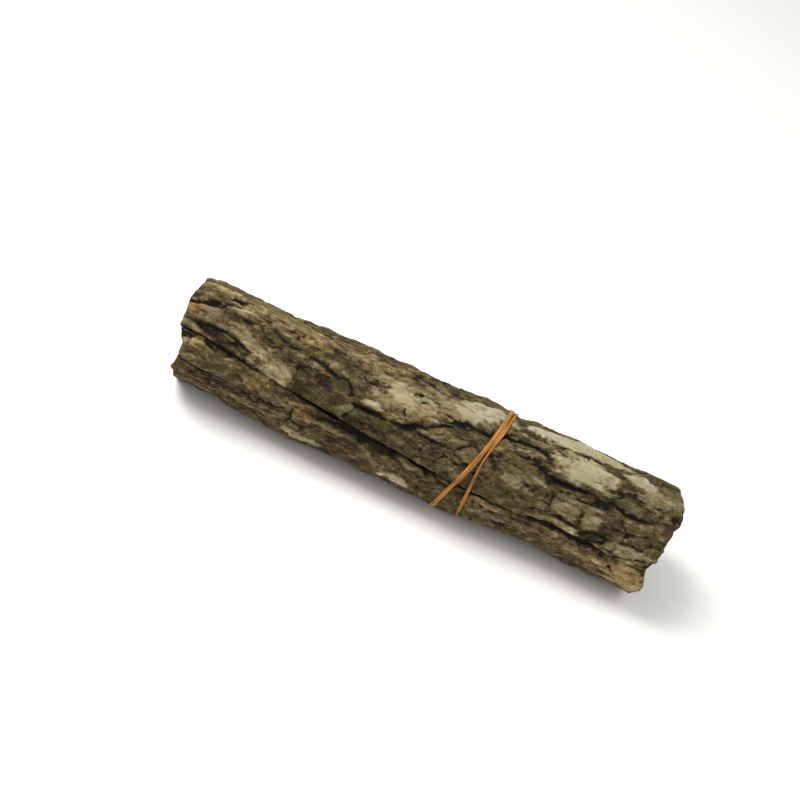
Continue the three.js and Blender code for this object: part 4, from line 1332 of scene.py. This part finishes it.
@dataclass
class RaffiaTie:
    """Two turns of raffia, side by side on top and parting down the front, knotted behind."""

    form: BarkForm
    knot_x: float = 32
    knot_degrees: float = 196
    knot_apart: float = 1.3
    knot_radii: tuple[float, float, float] = (1.7, 2.9, 2.4)
    knot_strands: tuple[tuple[float, ...], ...] = ((0, 0, 1.5, 31), (0.25, 0.2, 1.1, 32))
    clearance: float = 0.12
    tail_clearance: float = 0.42
    tail_apart: Point = (0.25, 1.1)  # between a tail's halves at the knot, and more at its end
    tail_share: float = 0.55  # each half's width, as a share of the tail's
    half_thickness: float = 0.27
    look_round: tuple[float, ...] = (-0.03, 0, 0.03)  # radians to the crests that lift a strand
    steps: int = 260
    sides: int = 10
    bend: float = 0.18  # radians over which the route is evened out to each side
    turns: tuple[Turn, ...] = (
        Turn(
            -1,
            [(190, 31.5), (188, 20), (185.3, 10), (183, 2), (181, -5), (176.8, -15), (172.1, -25),
             (168.2, -31.5)],
            [(-0.75, 1.25, 0), (0, 1.35, 0.22), (0.75, 1.2, 0)],
        ),
        Turn(
            1,
            [(193.2, 31.5), (190.4, 20), (187.6, 10), (186, 2), (185.7, -5), (185.2, -15),
             (184.8, -25), (184.5, -31.5)],
            [(-0.3, 0.9, 0), (0.35, 0.8, 0.12)],
        ),
    )
    tails: tuple[tuple[float, float, float], ...] = ((38.5, 236, 2), (24, 229, 1.6))  # end, width

    def tight(self, angle: Array, radius: Array) -> Array:
        """The radius of a taut string over a ring of radii: their convex outline at each angle.

        The outline's corners are found by walking the points in order of place, up one side and
        back down the other, and dropping each that the next one makes hollow. A ray at an angle
        meets a side of the outline at the share where its distance to the ray is nothing.

        Args:
            angle: angles once round.
            radius: the bark's radius at each.

        Returns:
            The outline's radius at each angle.
        """
        ring = np.stack([radius * np.cos(angle), radius * np.sin(angle)], axis=1)
        order = ring[np.lexsort((ring[:, 1], ring[:, 0]))]

        def chain(points: Array) -> list[Array]:
            """The points that turn left all the way.

            Args:
                points: points in order of place.

            Returns:
                Those kept, without the last.
            """
            kept: list[Array] = []
            for point in points:
                while len(kept) > 1:
                    (ax, ay), (bx, by) = kept[-2], kept[-1]
                    if (bx - ax) * (point[1] - ay) - (by - ay) * (point[0] - ax) > 0:
                        break
                    kept.pop()
                kept.append(point)
            return kept[:-1]

        outline = np.array(chain(order) + chain(order[::-1]))
        turn = np.unwrap(np.arctan2(outline[:, 1], outline[:, 0]))
        wanted = turn[0] + np.mod(angle - turn[0], FULL_TURN)
        index = np.clip(np.searchsorted(turn, wanted, side="right") - 1, 0, len(outline) - 1)
        a, b = outline[index], np.roll(outline, -1, axis=0)[index]
        c, s = np.cos(angle), np.sin(angle)
        from_side, to_side = (p[:, 1] * c - p[:, 0] * s for p in (a, b))
        apart = from_side - to_side
        met = blend(a, b, (from_side / np.where(np.abs(apart) < 1e-9, 1, apart))[:, None])
        return met[:, 0] * c + met[:, 1] * s

    def under(self, x: Array, angle: Array, width: float) -> Array:
        """The highest bark under a strand of that width."""
        offsets = [(dx, da) for dx in (-width / 2, 0, width / 2) for da in self.look_round]
        return np.max([self.form.outer_radius(x + dx, angle + da) for dx, da in offsets], axis=0)

    def ribbon(self, x: Array, angle: Array, radius: Array, width: float, seed: int) -> Ribbon:
        """A flat fibrous strand along a path.

        Its section is an oval, creased on top and below, whose width and height change by slow
        noise, and it rolls a little about its own line.

        Args:
            x: place along the tube at each step.
            angle: angle round it.
            radius: distance from its axis.
            width: the strand's width.
            seed: picks another draw.

        Returns:
            Points, faces with a point twice for a triangle, and the strand's own coordinates.
        """
        centres = place(x, angle, radius)
        ahead = unit(np.gradient(centres, axis=0))
        side = unit(np.cross(ahead, place(x, angle, radius + 1) - centres))
        out = np.cross(side, ahead)
        steps = np.linalg.norm(np.diff(centres, axis=0), axis=1)
        length = np.append(0, np.cumsum(steps))
        roll, wider, higher = (
            high * noise(length / long, seed, n + CELL_MIDDLE, 91 + n)[:, None]
            for n, (high, long) in enumerate(((0.35, 17), (0.16, 9), (0.25, 6)))
        )
        ends = np.minimum(1, 0.25 + np.minimum(length, length[-1] - length) / 1.2)[:, None]
        turn = np.linspace(0, FULL_TURN, self.sides, endpoint=False)[None]
        crease = 1 - 0.22 * np.cos(2 * turn + seed) * np.sin(turn) ** 2
        across = width / 2 * (1 + wider) * ends * np.cos(turn)
        rise = self.half_thickness * (1 + higher) * ends * np.sin(turn) * crease
        a = across * np.cos(roll) - rise * np.sin(roll)
        b = across * np.sin(roll) + rise * np.cos(roll)
        points = centres[:, None] + side[:, None] * a[..., None] + out[:, None] * b[..., None]

        ids = numbered(points)
        caps = [
            np.stack([np.full(self.sides, ids.size + n), rim, after, after], axis=1)
            for n, (rim, after) in enumerate((
                (ids[0], np.roll(ids[0], -1)), (np.roll(ids[-1], -1), ids[-1]),
            ))
        ]
        flat = np.concatenate([points.reshape(-1, 3), centres[:1], centres[-1:]])
        share = np.append(np.tile(np.arange(self.sides) / self.sides, len(centres)), [0, 0])
        along = np.append(np.repeat(length, self.sides), [0, length[-1]])
        strand = np.stack([share + seed, along / 10 + seed * 3], axis=1)
        return flat, np.concatenate([quads_of(ids, closed=True), *caps]), strand

    def turn_pieces(self, turn: Turn, seed: int) -> list[Ribbon]:
        """The strands of one turn, laid taut over the crests of the bark.

        Args:
            turn: the turn.
            seed: picks another draw.

        Returns:
            One ribbon for each strand.
        """
        marks = on_tube(turn.front)[::-1]
        knot_x = self.knot_x + turn.side * self.knot_apart
        end = math.radians(self.knot_degrees)
        at_angle = np.concatenate([[end - FULL_TURN], marks[:, 1] / TUBE.crest_radius, [end]])
        at_x = np.concatenate([[knot_x], marks[:, 0], [knot_x]])
        angle = np.linspace(end - FULL_TURN, end, self.steps + 1)
        bends = np.linspace(-self.bend, self.bend, 9)[:, None]
        x = np.interp(np.clip(angle + bends, angle[0], angle[-1]), at_angle, at_x).mean(axis=0)
        from_knot = smoothstep(np.minimum(angle - angle[0], angle[-1] - angle), 0, 0.35)
        made = []
        for i, (offset, width, lift) in enumerate(turn.strands):
            strand_x = x + (offset + 0.22 * noise(angle * 2.3, i, seed, 94)) * from_knot
            radius = self.tight(angle[:-1], self.under(strand_x, angle, width)[:-1])
            radius = np.append(radius, radius[0]) + self.clearance + self.half_thickness + lift
            made.append(self.ribbon(strand_x, angle, radius, width, seed * 7 + i))
        return made

    def knot_pieces(self, radius: float) -> list[Ribbon]:
        """The knot, two strands along a trefoil curve, and its split loose ends on the bark.

        The trefoil is (sin t + 2 sin 2t, cos t - 2 cos 2t, -sin 3t) / 3, times the knot's radii.

        Args:
            radius: distance of the strands from the tube's axis at the knot.

        Returns:
            One ribbon for each piece.
        """
        t = np.linspace(0, FULL_TURN, 90)
        start = math.radians(self.knot_degrees)
        out, along, around = self.knot_radii
        x = self.knot_x + along * (np.sin(t) + 2 * np.sin(2 * t)) / 3
        angle = start + around * (np.cos(t) - 2 * np.cos(2 * t)) / 3 / radius
        lifted = radius + 0.75 * out * (1 - np.sin(3 * t))
        made = [
            self.ribbon(x + aside, angle, lifted + above, width, seed)
            for aside, above, width, seed in self.knot_strands
        ]
        share, (apart, more) = np.linspace(0, 1, 40), self.tail_apart
        for n, (end_x, end_degrees, width) in enumerate(self.tails):
            for split in (-1, 1):
                spread = split * (apart + more * smoothstep(share, 0.6, 1)) / 2
                x = blend(self.knot_x, end_x, share) + spread
                angle = blend(start, math.radians(end_degrees), share)
                resting = self.under(x, angle, width) + self.tail_clearance
                evened = np.maximum(resting, blurred(resting[:, None], 4, 0)[:, 0] + 0.15)
                level = blend(radius + 0.6, evened, smoothstep(share, 0, 0.3))
                half = width * self.tail_share
                made.append(self.ribbon(x, angle, level, half, 40 + 3 * n + split))
        return made

    def build(self) -> bpy.types.Object:
        """Joins all strands into one mesh with its own strand coordinates.

        Returns:
            The tie.
        """
        pieces = [p for i, turn in enumerate(self.turns) for p in self.turn_pieces(turn, i + 1)]
        axis = (TUBE.axis_back, TUBE.axis_height)
        at_knot = max(float(np.hypot(*(points[0, 1:] - axis))) for points, _, _ in pieces)
        pieces += self.knot_pieces(at_knot)
        starts = np.cumsum([0] + [len(piece[0]) for piece in pieces])
        points, strand = (np.concatenate([piece[part] for piece in pieces]) for part in (0, 2))
        faces = np.concatenate([piece[1] + start for piece, start in zip(pieces, starts)])
        square = faces[:, 2] != faces[:, 3]
        made = mesh_object(
            "raffia_strands", points, {Finish.RAFFIA: [faces[square], faces[~square][:, :3]]}, {}
        )
        corner = np.zeros(len(made.data.loops), np.int32)
        made.data.loops.foreach_get("vertex_index", corner)
        layer = made.data.uv_layers.new(name="strand")
        layer.data.foreach_set("uv", strand[corner].astype(np.float32).ravel())
        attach(made, "root")
        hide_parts("raffia_tie")
        return made


@dataclass(frozen=True)
class Lamp:
    """A soft square light, placed from the camera: right, up, and towards the camera."""

    name: str
    right: float
    up: float
    towards: float
    size: float
    power: float


@dataclass
class Studio:
    """The pale floor, soft lights and the camera."""

    lamps: tuple[Lamp, ...] = (
        Lamp("key", -0.3, 1.0, 0.6, 0.7, 15),
        Lamp("fill", 0.9, 0.1, 0.9, 0.9, 3),
    )
    warm: tuple[float, float, float] = (1.0, 0.98, 0.95)
    daylight: float = 0.7
    floor_half: float = 24000
    sensor: float = 36

    def axes(self) -> tuple[Vector, Vector, Vector, Vector]:
        """The camera's right, up and backward directions, and the point looked at.

        Back is (0, -cos e, sin e) for elevation e; right and up are the level pair turned by roll.
        The point is on the plane through the tube's axis.

        Returns:
            Right, up, back, and the point in metres.
        """
        e, roll = math.radians(EYE.elevation), math.radians(EYE.roll)
        along, level_up = Vector((1, 0, 0)), Vector((0, math.sin(e), math.cos(e)))
        right = along * math.cos(roll) + level_up * math.sin(roll)
        up = level_up * math.cos(roll) - along * math.sin(roll)
        axis = Vector((EYE.along - TUBE.middle_along, TUBE.axis_back, TUBE.axis_height))
        back = Vector((0, -math.cos(e), math.sin(e)))
        return right, up, back, (axis + level_up * EYE.across) * MM

    def camera(self) -> None:
        """The camera: its lens makes the picture as wide as the measured field at the tube."""
        right, up, back, target = self.axes()
        data = bpy.data.cameras.new("camera")
        data.sensor_width = self.sensor
        data.lens = self.sensor * EYE.distance / EYE.field_width
        data.clip_start, data.clip_end = 0.01, 50
        made = linked("camera", data)
        made.matrix_world = Matrix((right, up, back)).transposed().to_4x4()
        made.location = target + back * EYE.distance * MM
        bpy.context.scene.camera = made

    def lights(self) -> None:
        """Area lights round the camera, aimed at the tube, and even daylight from all round."""
        right, up, back, target = self.axes()
        for lamp in self.lamps:
            data = bpy.data.lights.new(lamp.name, "AREA")
            data.size, data.energy, data.color = lamp.size, lamp.power, self.warm
            made = linked(lamp.name, data)
            made.location = target + right * lamp.right + up * lamp.up + back * lamp.towards
            made.rotation_mode = "QUATERNION"
            made.rotation_quaternion = (target - made.location).to_track_quat("-Z", "Y")
        world = bpy.data.worlds.new("daylight")
        world.use_nodes = True
        background = world.node_tree.nodes["Background"].inputs
        background["Color"].default_value = (1, 1, 1, 1)
        background["Strength"].default_value = self.daylight
        bpy.context.scene.world = world
        bpy.context.scene.view_settings.view_transform = "Standard"

    def floor(self) -> None:
        """A level square under the tube."""
        signs = np.array([[-1, -1, 0], [1, -1, 0], [1, 1, 0], [-1, 1, 0]])
        face = np.array([[0, 1, 2, 3]])
        made = mesh_object("floor", signs * self.floor_half, {Finish.FLOOR: [face]}, {})


def main() -> None:
    """Builds the bark, the tie and the studio, and keeps the imported bark and tie, hidden."""
    form = BarkForm()
    for maker in (BarkTube(form), RaffiaTie(form)):
        made = maker.build()
        log.info("%s: %d faces", made.name, len(made.data.polygons))
    studio = Studio()
    studio.floor()
    studio.lights()
    studio.camera()


if __name__ == "__main__":
    logging.basicConfig(level=logging.INFO)
    main()
